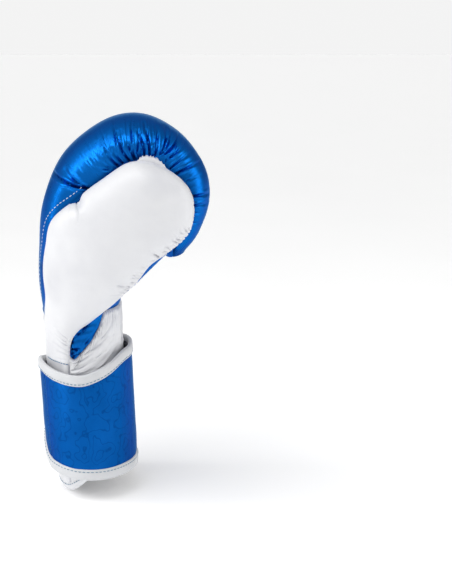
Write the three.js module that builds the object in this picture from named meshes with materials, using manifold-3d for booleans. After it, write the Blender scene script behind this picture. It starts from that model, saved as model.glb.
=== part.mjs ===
// A padded striking glove for the left hand: curled mitten, attached thumb, padded cuff and a wrap-round closure strap.
// Millimetres. +Z runs from the cuff to the knuckles, +X is the palm side and -Y the thumb side.
import * as THREE from 'three';
import { mergeVertices } from 'three/addons/utils/BufferGeometryUtils.js';
import Module from 'manifold-3d';

const wasm = await Module();
wasm.setup();

// ---------- driving dimensions ----------
const ORIGIN = [30.9, -14.7, 0]; // sketch coordinates of the bottom centre of the finished glove
const GAP = 0.3; // clearance between pieces that touch
const LEATHER = 1.0;
const LINING = 1.5;

const WRIST_Z = 125; // crease that the wrist bends at
const WRIST_X = -1;
const WRIST_NOTCH_DEG = 13; // half angle of the relief that lets the wrist bend 12 degrees each way
const HEEL_Z = 160; // seam between heel and palm panels
const WRIST_SEAM_Z = 150; // seam between the wrist panel and the panel over the back of the hand
const CUFF_SEAM_X = -13; // seams between the back and the front panel of the cuff

const THUMB_HINGE = new THREE.Vector3(-14, -40, 158);
const THUMB_DIRECTION = new THREE.Vector3(0.68, 0, 0.733).normalize();
const THUMB_SWING_DEG = 5.2; // the thumb swings out 5 degrees, and is cut back for slightly more
const THUMB_NOTCH_DEG = 6.5; // relief at the thumb's root

const HEM_WIDTH = 8;
const HEM_FLAT_X = -14; // the hem is level from the back of the wrist to here, then climbs to the palm side
const HEM_SLOPE = 0.85;
const HEM_RISE = 26;

const STRAP_BINDING = 9.5; // width of the bound edge
const STRAP_HINGES = [-12, 52, 108, 160]; // bends of the strap, in degrees round the cuff from the palm towards the thumb
const STRAP_START = -70;
const STRAP_END = 212;
const STRAP_SLIT = 0.5; // degrees left free on each side of a bend

const SECTION = 2.5; // exponent of the hand's rounded-box section
const HAND_SIDES = 18; // facets round the hand
const HAND_STEPS = 14; // facets along the hand
const THUMB_SIDES = 16;
const THUMB_STEPS = 13;

const COLOUR = {
  blue: { color: 0x0f4fae, roughness: 0.36, metalness: 0.1 },
  white: { color: 0xeceef1, roughness: 0.4, metalness: 0 },
  foam: { color: 0x3b3f47, roughness: 0.95, metalness: 0 },
  lining: { color: 0x14213f, roughness: 0.9, metalness: 0 },
  tape: { color: 0x10141c, roughness: 1, metalness: 0 },
};

// Hand envelope. Each slice spans from the palm side to the back of the hand.
// back x, back z, palm x, palm z, half width to the thumb side, half width to the little finger side
const HAND = [
  [-34, 118, 32, 118, 44, 45],
  [-35, 150, 31, 146, 47, 48],
  [-38.5, 178, 28, 168, 51, 55],
  [-38, 207, 26, 187, 53, 60],
  [-34, 244, 29, 206, 53, 64],
  [-17, 283, 36, 220, 53, 66],
  [15, 309, 43, 228, 52, 66],
  [47, 314.5, 50, 231, 52, 65],
  [77, 301, 56, 229, 51, 63],
  [98, 275, 60, 222, 49, 60],
  [103, 248, 62, 213, 46, 56],
  [96.5, 223, 62, 205, 41, 50],
  [85, 203, 65, 199, 30, 37],
];
const HAND_TIP = new THREE.Vector3(74, 3, 197);

// Room for the hand: thickness of the hollow in each slice, half width to the thumb side and to the other.
const PALM_PAD = 6;
const HOLLOW = [
  [52, 35, 37],
  [46, 36, 40],
  [40, 38, 44],
  [36, 39, 47],
  [33, 39, 49],
  [31, 38, 50],
  [30, 37, 49],
  [28, 36, 48],
  [26, 35, 46],
  [24, 33, 43],
  [20, 28, 37],
];

// Thumb envelope: upper edge x y z, lower edge x y z, bulge outwards, bulge inwards.
const THUMB = [
  [-33, -20, 112, -13, -41, 112, 4, 12],
  [-35, -22, 137, -12, -45, 133, 6, 12],
  [-35.5, -24, 155, -6, -48, 145, 9, 14],
  [-36, -27, 172, 6, -51, 154, 14, 16],
  [-35, -32, 192, 24, -58, 169, 20, 16],
  [-32, -38, 212, 40, -64, 185, 25, 16],
  [-24, -46, 234, 54, -67, 199.5, 28, 16],
  [-8, -56, 252.5, 66, -69, 212, 29, 17],
  [14, -63, 269, 77, -70, 222, 28, 17],
  [36, -67, 281.5, 84, -71, 232, 25, 16],
  [54, -69, 285, 86, -71, 246, 20, 13],
  [68, -70, 277, 82, -71, 260, 11, 8],
];
const THUMB_TIP = new THREE.Vector3(77, -70, 270);

// Tether from the top of the thumb across to the fist, as a section in y and z, and where it lies along x.
const TETHER = [
  [-71, 286.2],
  [-60, 289.2],
  [-40, 294.5],
  [-40, 295.8],
  [-60, 290.5],
  [-71, 287.5],
];
const TETHER_X = 44;
const TETHER_WIDTH = 18;

// Hollow for the wearer's thumb: centre x y z and radius, from inside the hand's hollow to the thumb's tip.
const THUMB_HOLLOW = [
  [-1, -16, 148, 13],
  [-1, -29, 160, 13],
  [2, -43, 177, 13],
  [15, -56, 200, 14],
  [34, -63, 224, 13],
  [50, -67, 245, 11],
];

// Cuff: centre x, half depth and half width at the wrist crease and at the level of the hem, and how far the hem tucks in.
const CUFF_TOP = { z: WRIST_Z, centre: -1, depth: 33.2, width: 45 };
const CUFF_LOW = { z: 0, centre: 6.1, depth: 32.4, width: 44 };
const CUFF_TUCK_Z = 20;
const CUFF_TUCK = { centre: 2, depth: -3.4, width: -4 };

// Strap edges: angle round the cuff, height of the top edge, height of the bottom edge.
const STRAP_EDGES = [
  [-70, 122, 19],
  [-12, 126, 19],
  [37, 124, 19],
  [52, 118.5, 19],
  [70, 113, 18.5],
  [92, 108, 18.5],
  [108, 108, 18.5],
  [130, 109, 19.5],
  [150, 110.5, 21],
  [160, 110.5, 24],
  [180, 109.5, 37],
  [212, 104, 46],
];

// Layers from the cuff outwards, as distances from the cuff's leather.
const LAYER = {
  loop: [0.3, 1.5],
  hook: [1.9, 3.0],
  core: [3.3, 5.0],
  leather: [5.3, 6.6],
  binding: [3.3, 7.2],
};

// ---------- solids ----------
const radians = THREE.MathUtils.degToRad;

// A closed geometry from rings of equal size, its ends closed by fans to the given poles or to the rings' centres.
function ringGeometry(rings, startPole = null, endPole = null) {
  const count = rings[0].length;
  const centre = (ring) => ring.reduce((sum, p) => sum.add(p), new THREE.Vector3()).divideScalar(count);
  const points = [...rings.flat(), startPole ?? centre(rings[0]), endPole ?? centre(rings.at(-1))];
  const start = points.length - 2;
  const last = (rings.length - 1) * count;
  const faces = [];
  for (let i = 0; i < count; i++) {
    const j = (i + 1) % count;
    for (let r = 0; r < rings.length - 1; r++) {
      const a = r * count;
      faces.push([a + i, a + j, a + count + j], [a + i, a + count + j, a + count + i]);
    }
    faces.push([start, j, i], [start + 1, last + i, last + j]);
  }
  const volume = faces.reduce((sum, [a, b, c]) => {
    const ab = new THREE.Vector3().crossVectors(points[a], points[b]);
    return sum + ab.dot(points[c]);
  }, 0);
  const index = faces.flatMap(([a, b, c]) => (volume > 0 ? [a, b, c] : [a, c, b]));
  return new THREE.BufferGeometry().setFromPoints(points).setIndex(index);
}

function solid(geometry) {
  const bare = geometry.clone();
  bare.deleteAttribute('normal');
  bare.deleteAttribute('uv');
  const merged = mergeVertices(bare, 1e-4);
  return new wasm.Manifold(new wasm.Mesh({
    numProp: 3,
    vertProperties: new Float32Array(merged.attributes.position.array),
    triVerts: new Uint32Array(merged.index.array),
  }));
}

// A piece keeps only its largest body, so that no crumb of a cut is left beside it.
function largest(body) {
  return body.decompose().reduce((best, piece) => (piece.volume() > best.volume() ? piece : best));
}

// A polygon in the XZ plane, extruded over the whole width of the glove.
function slab(outline, halfWidth = 130) {
  const shape = new THREE.Shape(outline.map(([x, z]) => new THREE.Vector2(x, z)));
  const extruded = new THREE.ExtrudeGeometry(shape, { depth: 2 * halfWidth, bevelEnabled: false });
  extruded.rotateX(Math.PI / 2).translate(0, halfWidth, 0);
  return solid(extruded);
}

// Smooth curves through a table's columns, three columns at a time, sampled at even steps from row to row.
function sampleTable(table, steps) {
  const width = table[0].length;
  const curves = [];
  for (let c = 0; c < width; c += 3) {
    const points = table.map((row) => new THREE.Vector3(row[c], row[c + 1] ?? 0, row[c + 2] ?? 0));
    curves.push(new THREE.CatmullRomCurve3(points, false, 'catmullrom', 0.5));
  }
  return Array.from({ length: steps + 1 }, (_, i) => {
    return curves.flatMap((curve) => curve.getPoint(i / steps).toArray()).slice(0, width);
  });
}

const power = (value, exponent) => Math.sign(value) * Math.abs(value) ** (2 / exponent);

// One slice of the hand: a rounded box from the palm point to the back point.
function handRing(palm, back, thumbWidth, otherWidth, exponent = SECTION) {
  const centre = palm.clone().add(back).multiplyScalar(0.5);
  const half = back.clone().sub(palm).multiplyScalar(0.5);
  return Array.from({ length: HAND_SIDES }, (_, i) => {
    const angle = (2 * Math.PI * i) / HAND_SIDES;
    const side = power(Math.sin(angle), exponent);
    const point = centre.clone().addScaledVector(half, power(Math.cos(angle), exponent));
    point.y += side * (side > 0 ? otherWidth : thumbWidth);
    return point;
  });
}

const handSlices = sampleTable(HAND, HAND_STEPS).map(([bx, bz, px, pz, thumb, other]) => {
  const back = new THREE.Vector3(bx, 0, bz);
  const palm = new THREE.Vector3(px, 0, pz);
  const across = back.clone().sub(palm).normalize();
  return { back, palm, across, depth: back.distanceTo(palm), thumb, other };
});

// The hand envelope, shrunk by inset on every side. A negative inset grows it.
function handGeometry(inset) {
  const rings = handSlices.map((s) => handRing(
    s.palm.clone().addScaledVector(s.across, inset),
    s.back.clone().addScaledVector(s.across, -inset),
    s.thumb - inset,
    s.other - inset,
  ));
  return ringGeometry(rings, null, HAND_TIP.clone().add(new THREE.Vector3(0, 0, inset)));
}

const hand = (inset) => solid(handGeometry(inset));

// The hand envelope where the thumb meets it, with the thumb at rest and swung out.
function handAtThumb(inset) {
  const axis = new THREE.Vector3(THUMB_DIRECTION.z, 0, -THUMB_DIRECTION.x);
  const swung = handGeometry(inset).translate(-THUMB_HINGE.x, -THUMB_HINGE.y, -THUMB_HINGE.z);
  swung.applyMatrix4(new THREE.Matrix4().makeRotationAxis(axis, radians(-THUMB_SWING_DEG)));
  swung.translate(THUMB_HINGE.x, THUMB_HINGE.y, THUMB_HINGE.z);
  return hand(inset).add(solid(swung));
}

const hollowSlices = (() => {
  const last = (HOLLOW.length - 1) / (HAND.length - 1);
  const steps = Math.round(HAND_STEPS * last);
  const sizes = sampleTable(HOLLOW, steps);
  return sizes.map(([depth, thumb, other], i) => ({ ...handSlices[i], hollow: depth, thumb, other }));
})();

// The room for the wearer's hand, grown by wall on every side.
function handHollow(wall) {
  const rings = hollowSlices.map((s) => handRing(
    s.palm.clone().addScaledVector(s.across, PALM_PAD - wall),
    s.palm.clone().addScaledVector(s.across, PALM_PAD + s.hollow + wall),
    s.thumb + wall,
    s.other + wall,
  ));
  return solid(ringGeometry(rings));
}

// The part of the hand that lies nearer to the palm than the side seams.
const SIDE_SEAM = 0.36;
function palmSide(extra) {
  const rings = handSlices.map((s) => handRing(
    s.palm.clone().addScaledVector(s.across, -2 - extra),
    s.palm.clone().addScaledVector(s.across, SIDE_SEAM * s.depth + extra),
    s.thumb + 20 + extra,
    s.other + 20 + extra,
    10,
  ));
  const tip = HAND_TIP.clone().add(new THREE.Vector3(-4, 0, -2 - extra));
  return solid(ringGeometry(rings, null, tip));
}

// Border between the outer and inner layers of the knuckle foam.
function foamBorder(inset) {
  const rings = handSlices.map((s, i) => {
    const hollow = hollowSlices[Math.min(i, hollowSlices.length - 1)];
    const padding = Math.max(s.depth - PALM_PAD - hollow.hollow, 6);
    return handRing(
      s.palm.clone().addScaledVector(s.across, 1.6 + inset),
      s.back.clone().addScaledVector(s.across, -0.45 * padding - inset),
      s.thumb - 0.5 * (s.thumb - hollow.thumb) - inset,
      s.other - 0.5 * (s.other - hollow.other) - inset,
    );
  });
  return solid(ringGeometry(rings.slice(0, -1)));
}

const thumbSlices = sampleTable(THUMB.map((row) => [...row, 0]), THUMB_STEPS).map((row) => {
  const upper = new THREE.Vector3(row[0], row[1], row[2]);
  const lower = new THREE.Vector3(row[3], row[4], row[5]);
  const across = lower.clone().sub(upper).normalize();
  const out = new THREE.Vector3(0, -1, 0).addScaledVector(across, across.y).normalize();
  return { upper, lower, across, out, bulge: row[6], hollow: row[7] };
});

// The thumb envelope, shrunk by inset, with its outward and inward bulges scaled by two factors.
function thumb(inset, outward = 1, inward = 1) {
  const rings = thumbSlices.map((s) => {
    const upper = s.upper.clone().addScaledVector(s.across, inset);
    const lower = s.lower.clone().addScaledVector(s.across, -inset);
    const centre = upper.clone().add(lower).multiplyScalar(0.5);
    const half = lower.clone().sub(upper).multiplyScalar(0.5);
    return Array.from({ length: THUMB_SIDES }, (_, i) => {
      const angle = (2 * Math.PI * i) / THUMB_SIDES;
      const side = power(Math.sin(angle), 2.2);
      const bulge = side > 0 ? s.bulge * outward - inset : s.hollow * inward - inset;
      return centre.clone().addScaledVector(half, power(Math.cos(angle), 2.2)).addScaledVector(s.out, side * bulge);
    });
  });
  const tip = THUMB_TIP.clone().addScaledVector(THUMB_DIRECTION, -inset);
  return solid(ringGeometry(rings, null, tip));
}

// The room for the wearer's thumb, grown by wall.
function thumbHollow(wall) {
  const slices = sampleTable(THUMB_HOLLOW.map((row) => [...row, 0, 0]), 8);
  const rings = slices.map(([x, y, z, radius], k) => {
    const [ax, ay, az] = slices[Math.max(k - 1, 0)];
    const [bx, by, bz] = slices[Math.min(k + 1, slices.length - 1)];
    const along = new THREE.Vector3(bx - ax, by - ay, bz - az).normalize();
    const u = new THREE.Vector3(0, 1, 0).addScaledVector(along, -along.y).normalize();
    const v = new THREE.Vector3().crossVectors(along, u);
    return Array.from({ length: 12 }, (_, i) => {
      const angle = (Math.PI * i) / 6;
      const point = new THREE.Vector3(x, y, z);
      point.addScaledVector(u, (radius + wall) * Math.cos(angle));
      return point.addScaledVector(v, (radius + wall) * Math.sin(angle));
    });
  });
  const [x, y, z, radius] = slices.at(-1);
  const tip = new THREE.Vector3(x, y, z).addScaledVector(THUMB_DIRECTION, 0.6 * radius + wall);
  return solid(ringGeometry(rings, null, tip));
}

// Cuff section at height z, as centre, half depth and half width. The hem tucks in below the strap.
function cuffSection(z, tucked) {
  const share = (CUFF_TOP.z - z) / (CUFF_TOP.z - CUFF_LOW.z);
  const tuck = tucked ? Math.max(0, (CUFF_TUCK_Z - z) / CUFF_TUCK_Z) : 0;
  const at = (key) => THREE.MathUtils.lerp(CUFF_TOP[key], CUFF_LOW[key], share) + tuck * CUFF_TUCK[key];
  return { centre: at('centre'), depth: at('depth'), width: at('width') };
}

// Point at an angle round the cuff, measured from the palm towards the thumb side.
function cuffPoint(degrees, z, outside, tucked = false) {
  const { centre, depth, width } = cuffSection(z, tucked);
  const angle = radians(degrees);
  return new THREE.Vector3(
    centre + (depth + outside) * Math.cos(angle),
    -(width + outside) * Math.sin(angle),
    z,
  );
}

function cuffTube(outside) {
  const rings = [-8, CUFF_TUCK_Z, WRIST_Z - GAP].map((z) => {
    return Array.from({ length: 36 }, (_, i) => cuffPoint(i * 10, z, outside, true));
  });
  return solid(ringGeometry(rings));
}

// Everything below the hem line, raised by a height.
function belowHem(height) {
  const rampEnd = HEM_FLAT_X + HEM_RISE / HEM_SLOPE;
  return slab([
    [-90, -20],
    [110, -20],
    [110, HEM_RISE + height],
    [rampEnd, HEM_RISE + height],
    [HEM_FLAT_X, height],
    [-90, height],
  ]);
}

// Value of a column of the strap's edge table at an angle.
function strapEdge(degrees, column) {
  const next = Math.max(1, STRAP_EDGES.findIndex((row) => row[0] >= degrees));
  const [a, b] = [STRAP_EDGES[next - 1], STRAP_EDGES[next]];
  return THREE.MathUtils.mapLinear(degrees, a[0], b[0], a[column], b[column]);
}

// A band round the cuff between two angles and two layers, from a low edge to a high edge given as functions of the angle.
function band(from, to, [inner, outer], low, high) {
  const steps = Math.max(2, Math.round((to - from) / 7));
  const rings = Array.from({ length: steps + 1 }, (_, i) => {
    const degrees = THREE.MathUtils.lerp(from, to, i / steps);
    const corners = [[low, inner], [low, outer], [high, outer], [high, inner]];
    return corners.map(([edge, outside]) => cuffPoint(degrees, edge(degrees), outside));
  });
  return ringGeometry(rings);
}

// ---------- assembly ----------
const glove = new THREE.Group();
glove.position.set(-ORIGIN[0], -ORIGIN[1], -ORIGIN[2]);

function add(name, colour, body) {
  let geometry = body;
  if (!body.isBufferGeometry) {
    const mesh = largest(body).getMesh();
    geometry = new THREE.BufferGeometry();
    geometry.setAttribute('position', new THREE.BufferAttribute(new Float32Array(mesh.vertProperties), 3));
    geometry.setIndex(Array.from(mesh.triVerts));
  }
  geometry.computeVertexNormals();
  const mesh = new THREE.Mesh(geometry, new THREE.MeshStandardMaterial(COLOUR[colour]));
  mesh.name = name;
  glove.add(mesh);
}

function addCuff() {
  const slit = slab([[20, -20], [70, -20], [70, 100], [20, 100]], 1);
  const vee = solid(ringGeometry([[-20, 14], [104, 3]].map(([z, half]) => [
    new THREE.Vector3(12, -half, z),
    new THREE.Vector3(70, -half, z),
    new THREE.Vector3(70, half, z),
    new THREE.Vector3(12, half, z),
  ])));
  const open = vee.add(slit).add(belowHem(HEM_WIDTH + GAP));
  const layer = (outer, inner) => cuffTube(outer).subtract(cuffTube(inner)).subtract(open);
  const backPanel = (x) => slab([[-90, -20], [x, -20], [x, 140], [-90, 140]]);
  add('cuff_leather_back', 'white', layer(0, -LEATHER).intersect(backPanel(CUFF_SEAM_X)));
  add('cuff_leather_front', 'white', layer(0, -LEATHER).subtract(backPanel(CUFF_SEAM_X + GAP)));
  add('cuff_foam', 'foam', layer(-LEATHER - GAP, -7));
  add('cuff_lining', 'lining', layer(-7 - GAP, -8.3));
  const hemRing = cuffTube(0.8).subtract(cuffTube(-9)).subtract(vee);
  add('hem_binding', 'white', hemRing.intersect(belowHem(HEM_WIDTH)).subtract(belowHem(0)));
  add('slit_gusset', 'lining', band(-24, 24, [-10.2, -8.6], () => 36, () => 108));
  add('loop_patch', 'tape', band(146, 246, LAYER.loop, () => 44, () => 98));
}

function addHand() {
  const reach = Math.tan(radians(WRIST_NOTCH_DEG)) * 90;
  const notch = slab([
    [WRIST_X - 90, 60],
    [WRIST_X + 90, 60],
    [WRIST_X + 90, WRIST_Z + GAP + reach],
    [WRIST_X, WRIST_Z + GAP],
    [WRIST_X - 90, WRIST_Z + GAP + reach],
  ]);
  const passage = thumbHollow(LINING + GAP);
  const cut = notch.add(passage);
  const palm = palmSide(0);
  const notPalm = palmSide(GAP);
  const skin = hand(0).subtract(hand(LEATHER)).subtract(cut);
  const below = (z) => slab([[-90, 60], [110, 60], [110, z], [-90, z]]);
  const backSkin = skin.subtract(notPalm);
  const palmSkin = skin.intersect(palm);
  add('fist_leather', 'blue', backSkin.subtract(below(WRIST_SEAM_Z + GAP)));
  add('wrist_leather', 'white', backSkin.intersect(below(WRIST_SEAM_Z)));
  add('palm_leather', 'blue', palmSkin.subtract(below(HEEL_Z + GAP)));
  add('heel_leather', 'white', palmSkin.intersect(below(HEEL_Z)));

  const padding = hand(LEATHER + GAP).subtract(handHollow(LINING + GAP)).subtract(cut);
  add('knuckle_foam_outer', 'foam', padding.subtract(foamBorder(0)).subtract(notPalm));
  add('knuckle_foam_inner', 'foam', padding.intersect(foamBorder(GAP)).subtract(notPalm));
  add('palm_foam', 'foam', padding.intersect(palm));

  add('hand_lining', 'lining', handHollow(LINING).subtract(handHollow(0)).subtract(cut));
  const sleeve = thumbHollow(LINING).subtract(thumbHollow(0)).subtract(handHollow(LINING + GAP));
  add('thumb_sleeve', 'lining', sleeve.intersect(hand(0).add(thumbBaseRegion())).subtract(notch));

  add('grip_bar', 'lining', solid(new THREE.CylinderGeometry(6, 6, 50, 16).translate(37.8, 4, 241.6)));

  const base = thumbBaseRegion();
  const baseSkin = thumb(0).subtract(thumb(LEATHER)).subtract(hand(-0.4)).intersect(base);
  const baseCore = thumb(LEATHER + GAP).subtract(hand(-0.4)).intersect(base);
  add('thumb_base_leather', 'white', baseSkin.subtract(cut));
  add('thumb_base_foam', 'foam', baseCore.subtract(cut));
}

// The side of the thumb's hinge plane that stays with the hand, above the wrist crease.
function thumbBaseRegion() {
  const along = new THREE.Vector2(THUMB_DIRECTION.z, -THUMB_DIRECTION.x).multiplyScalar(150);
  const back = new THREE.Vector2(THUMB_DIRECTION.x, THUMB_DIRECTION.z).multiplyScalar(-150);
  const hinge = new THREE.Vector2(THUMB_HINGE.x, THUMB_HINGE.z);
  const corners = [
    hinge.clone().sub(along),
    hinge.clone().sub(along).add(back),
    hinge.clone().add(along).add(back),
    hinge.clone().add(along),
  ];
  return slab(corners.map((p) => p.toArray()));
}

// What the thumb gives up at its root so that it can swing outwards.
function thumbNotch() {
  const lean = Math.tan(radians(THUMB_NOTCH_DEG));
  const profile = [
    [-150, -170],
    [GAP + 0.1 + 100 * lean, -100],
    [GAP + 0.1, 0],
    [GAP + 0.1, 120],
    [-150, 120],
  ];
  const across = new THREE.Vector3(THUMB_DIRECTION.z, 0, -THUMB_DIRECTION.x);
  const rings = [-150, 150].map((distance) => profile.map(([along, y]) => {
    const point = THUMB_HINGE.clone().addScaledVector(across, distance);
    return point.addScaledVector(THUMB_DIRECTION, along).setY(THUMB_HINGE.y + y);
  }));
  return solid(ringGeometry(rings));
}

function addThumb() {
  const notch = thumbNotch();
  const fist = handAtThumb(-0.4);
  const passage = thumbHollow(LINING + GAP);
  const outerHalf = (extra) => thumb(-3 - extra, 2, -0.02 * extra);
  const skin = thumb(0).subtract(thumb(LEATHER)).subtract(fist).subtract(notch).subtract(passage);
  add('thumb_leather_outer', 'white', skin.intersect(outerHalf(0)));
  add('thumb_leather_inner', 'blue', skin.subtract(outerHalf(GAP)));
  add('thumb_foam', 'foam', thumb(LEATHER + GAP).subtract(fist).subtract(notch).subtract(passage));
  add('thumb_lining', 'lining', thumbHollow(LINING).subtract(thumbHollow(0)).subtract(fist).subtract(notch));

  const tether = new THREE.Shape(TETHER.map(([y, z]) => new THREE.Vector2(y, z)));
  const strip = new THREE.ExtrudeGeometry(tether, { depth: TETHER_WIDTH, bevelEnabled: false });
  strip.rotateX(Math.PI / 2).rotateZ(Math.PI / 2).translate(TETHER_X, 0, 0);
  add('thumb_tether', 'white', solid(strip).subtract(fist));
}

function addStrap() {
  const ends = [STRAP_START, ...STRAP_HINGES, STRAP_END];
  const top = (degrees) => strapEdge(degrees, 1);
  const bottom = (degrees) => strapEdge(degrees, 2);
  const raised = (edge, by) => (degrees) => edge(degrees) + by;
  const endStrip = 6; // degrees of bound edge at the free end
  for (let i = 0; i < ends.length - 1; i++) {
    const from = ends[i] + (i === 0 ? 0 : STRAP_SLIT);
    const free = i === ends.length - 2;
    const to = ends[i + 1] - (free ? 0 : STRAP_SLIT);
    const panelEnd = free ? to - endStrip - STRAP_SLIT : to;
    const low = raised(bottom, STRAP_BINDING + GAP);
    const high = raised(top, -STRAP_BINDING - GAP);
    add(`strap_leather_${i}`, 'blue', band(from, panelEnd, LAYER.leather, low, high));
    add(`strap_core_${i}`, 'foam', band(from, panelEnd, LAYER.core, low, high));
    add(`strap_binding_top_${i}`, 'white', band(from, to, LAYER.binding, raised(top, -STRAP_BINDING), top));
    add(`strap_binding_bottom_${i}`, 'white', band(from, to, LAYER.binding, bottom, raised(bottom, STRAP_BINDING)));
    if (free) {
      add('strap_binding_end', 'white', band(to - endStrip, to, LAYER.binding, low, high));
      add('hook_patch', 'tape', band(from + 2, panelEnd, LAYER.hook, () => 54, () => 92));
    }
  }
}

addCuff();
addHand();
addThumb();
addStrap();

export default glove;
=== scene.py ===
import math

import bpy
import numpy as np
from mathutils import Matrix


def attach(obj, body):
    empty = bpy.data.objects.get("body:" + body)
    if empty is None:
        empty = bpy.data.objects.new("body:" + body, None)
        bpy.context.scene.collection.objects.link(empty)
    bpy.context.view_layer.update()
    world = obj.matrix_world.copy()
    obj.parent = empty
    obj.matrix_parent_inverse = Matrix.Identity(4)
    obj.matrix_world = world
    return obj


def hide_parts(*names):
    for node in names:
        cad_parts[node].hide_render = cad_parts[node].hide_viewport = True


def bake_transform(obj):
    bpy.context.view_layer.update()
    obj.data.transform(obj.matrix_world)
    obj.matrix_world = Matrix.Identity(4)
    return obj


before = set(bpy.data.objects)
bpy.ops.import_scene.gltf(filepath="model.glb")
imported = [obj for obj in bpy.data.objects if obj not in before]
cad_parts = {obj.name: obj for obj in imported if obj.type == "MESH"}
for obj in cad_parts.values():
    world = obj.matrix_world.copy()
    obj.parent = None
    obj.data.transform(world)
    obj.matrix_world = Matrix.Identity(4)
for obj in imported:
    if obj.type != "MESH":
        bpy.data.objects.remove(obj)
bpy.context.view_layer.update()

# ---------- driving dimensions, in the design's sketch coordinates, millimetres ----------
ORIGIN = np.array([30.9, -14.7, 0.0])  # sketch coordinates of the row frame's origin
MM = 0.001

# Hand envelope, one row per slice: back x z, palm x z, half width to the thumb side and to the other side.
# The first row lies in the cuff, below the wrist crease.
HAND = [
    (-32.3, 95, 33.7, 95, 44.8, 44.8), (-34, 118, 32, 118, 44, 45),
    (-35, 150, 31, 146, 47, 48), (-38.5, 178, 28, 168, 51, 55),
    (-38, 207, 26, 187, 53, 60), (-34, 244, 29, 206, 53, 64),
    (-17, 283, 36, 220, 53, 66), (15, 309, 43, 228, 52, 66),
    (47, 314.5, 50, 231, 52, 65), (77, 301, 56, 229, 51, 63),
    (97, 274.5, 60, 222, 49, 60), (101, 248, 62, 213, 46, 56),
    (94, 224, 62, 206, 41, 50), (83, 206, 65.5, 201, 30, 37),
]
HAND_TIP = np.array([74.5, 3.0, 199.5])
CUFF_ROW, TIP_ROW = -1.0, 12.0
ROUND_OFF = 0.7  # rows over which an end closes

# Thumb envelope: upper edge x y z, lower edge x y z, bulge outwards, bulge inwards.
THUMB = [
    (-30, -20, 112, -13, -41, 112, 4, 12), (-31, -22, 137, -12, -45, 133, 6, 12),
    (-30, -24, 155, -6, -48, 145, 9, 14), (-30.5, -27, 172, 6, -51, 154, 14, 16),
    (-31.5, -32, 192, 24, -58, 169, 20, 16), (-29, -38, 212, 40, -64, 185, 25, 16),
    (-24, -46, 234, 54, -67, 199.5, 28, 16), (-6.5, -56, 251, 66, -69, 212, 29, 17),
    (15, -63, 268, 77, -70, 222, 28, 17), (36, -67, 281.5, 84, -71, 232, 25, 16),
    (54, -69, 281.5, 86, -71, 246, 20, 13), (67, -70, 274.5, 83, -71, 258, 15, 10),
]
THUMB_TIP = np.array([77.0, -70.0, 268.0])
THUMB_END_ROW = 10.3
THUMB_ROUND_OFF = 1.4
THUMB_NOTCH = (-4.5, 252.0)  # x z of the notch in the upper edge
THUMB_EXPONENT = 2.2  # roundness of the thumb's sections: an ellipse has 2
THUMB_DIRECTION = np.array([0.68, 0.0, 0.733]) / math.hypot(0.68, 0.733)

# Room for the wearer's hand: thickness and half widths of the hollow in each slice, from the crease row on.
PALM_PAD = 6.0
HOLLOW = [
    (52, 35, 37), (46, 36, 40), (40, 38, 44), (36, 39, 47), (33, 39, 49), (31, 38, 50),
    (30, 37, 49), (28, 36, 48), (26, 35, 46), (24, 33, 43), (20, 28, 37),
]
# Room for the wearer's thumb: centre x y z and radius.
THUMB_HOLLOW = [
    (-1, -16, 148, 13), (-1, -29, 160, 13), (2, -43, 177, 13), (15, -56, 200, 14),
    (34, -63, 224, 13), (50, -67, 245, 11),
]

WRIST_Z = 125.0  # axis that the wrist bends about
# The cuff's centre x, half depth and half width: each at the wrist's axis, its change from there down to the
# level 0, and its change where the hem tucks in below the strap.
CUFF_SECTION = [(-1.0, 7.1, 2.0), (33.2, -0.8, -3.4), (45.0, -1.0, -4.0)]
TUCK_TOP = 20.0
CUFF_TOP_EDGE = 104.0
CUFF_LIFT = 3.0  # height of the leather's lower edge over the hem's
CUFF_SEAM_X = -13.0
SLIT = (14.0, 3.0)  # half width of the slit at its low level and at the cuff's top edge
SLIT_LOW_Z = -20.0
CUFF_HALF_WIDTH = 44.5  # mean value, for the angle that the slit takes up
HEM_FLAT_X, HEM_SLOPE, HEM_RISE, HEM_WIDTH = -14.0, 0.85, 26.0, 8.0
SIDE_SEAM_DEG = 101.75  # angle from the back of the hand to the seam between knuckle and palm panels

STRAP_BINDING = 9.5
STRAP_HINGES = [-12.0, 52.0, 108.0, 160.0]
STRAP_CUTS = [-70.0, 20.0, 80.0, 134.0, 212.0]
STRAP_BEND = 14.0  # length of strap on each side of a hinge that shares its bend
STRAP_EDGES = [  # angle round the cuff, top edge, bottom edge
    (-70, 122, 19), (-12, 126, 19), (37, 124, 19), (52, 118.5, 19), (70, 113, 18.5), (92, 108, 18.5),
    (108, 108, 18.5), (130, 110, 19.5), (150, 112.5, 21), (160, 113, 24), (180, 112, 37), (212, 106, 46),
]
END_STRIP_DEG = 6.0

SHARP_DEG = 55.0  # edges that turn by more look sharp
DARK_CREASE = 1.6  # depth at which the painted shade in a crease is darkest
CREASE_PIECES = 14  # straight pieces that a bowed crease is made of
SEED = 41


# ---------- numbers and surfaces ----------
def to_row(points):
    return (np.asarray(points, float) - ORIGIN) * MM


def smooth(x, low, high):
    t = np.clip((x - low) / (high - low), 0, 1)
    return t * t * (3 - 2 * t)


def bump(x, width):
    return np.exp(-((x / width) ** 2))


def unit(vectors):
    return vectors / np.maximum(np.linalg.norm(vectors, axis=-1, keepdims=True), 1e-9)


def xyz(*parts):
    """Points from their coordinates, each a number or an array."""
    return np.stack(np.broadcast_arrays(*parts), axis=-1)


def grown(*values):
    """Numbers and arrays brought to one shape."""
    return np.broadcast_arrays(*(np.asarray(value, float) for value in values))


def dome(row, start, length, part=1.0):
    """How an end closes over a length of rows: what is left of its section, and how near it is to its tip."""
    angle = np.clip((row - start) / length, 0, 1) * math.pi / 2 * part
    return np.cos(angle), np.sin(angle)


def rows_of(count):
    """Even shares from 0 to 1, one for each row of a grid."""
    return np.linspace(0, 1, count)[:, None]


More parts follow.
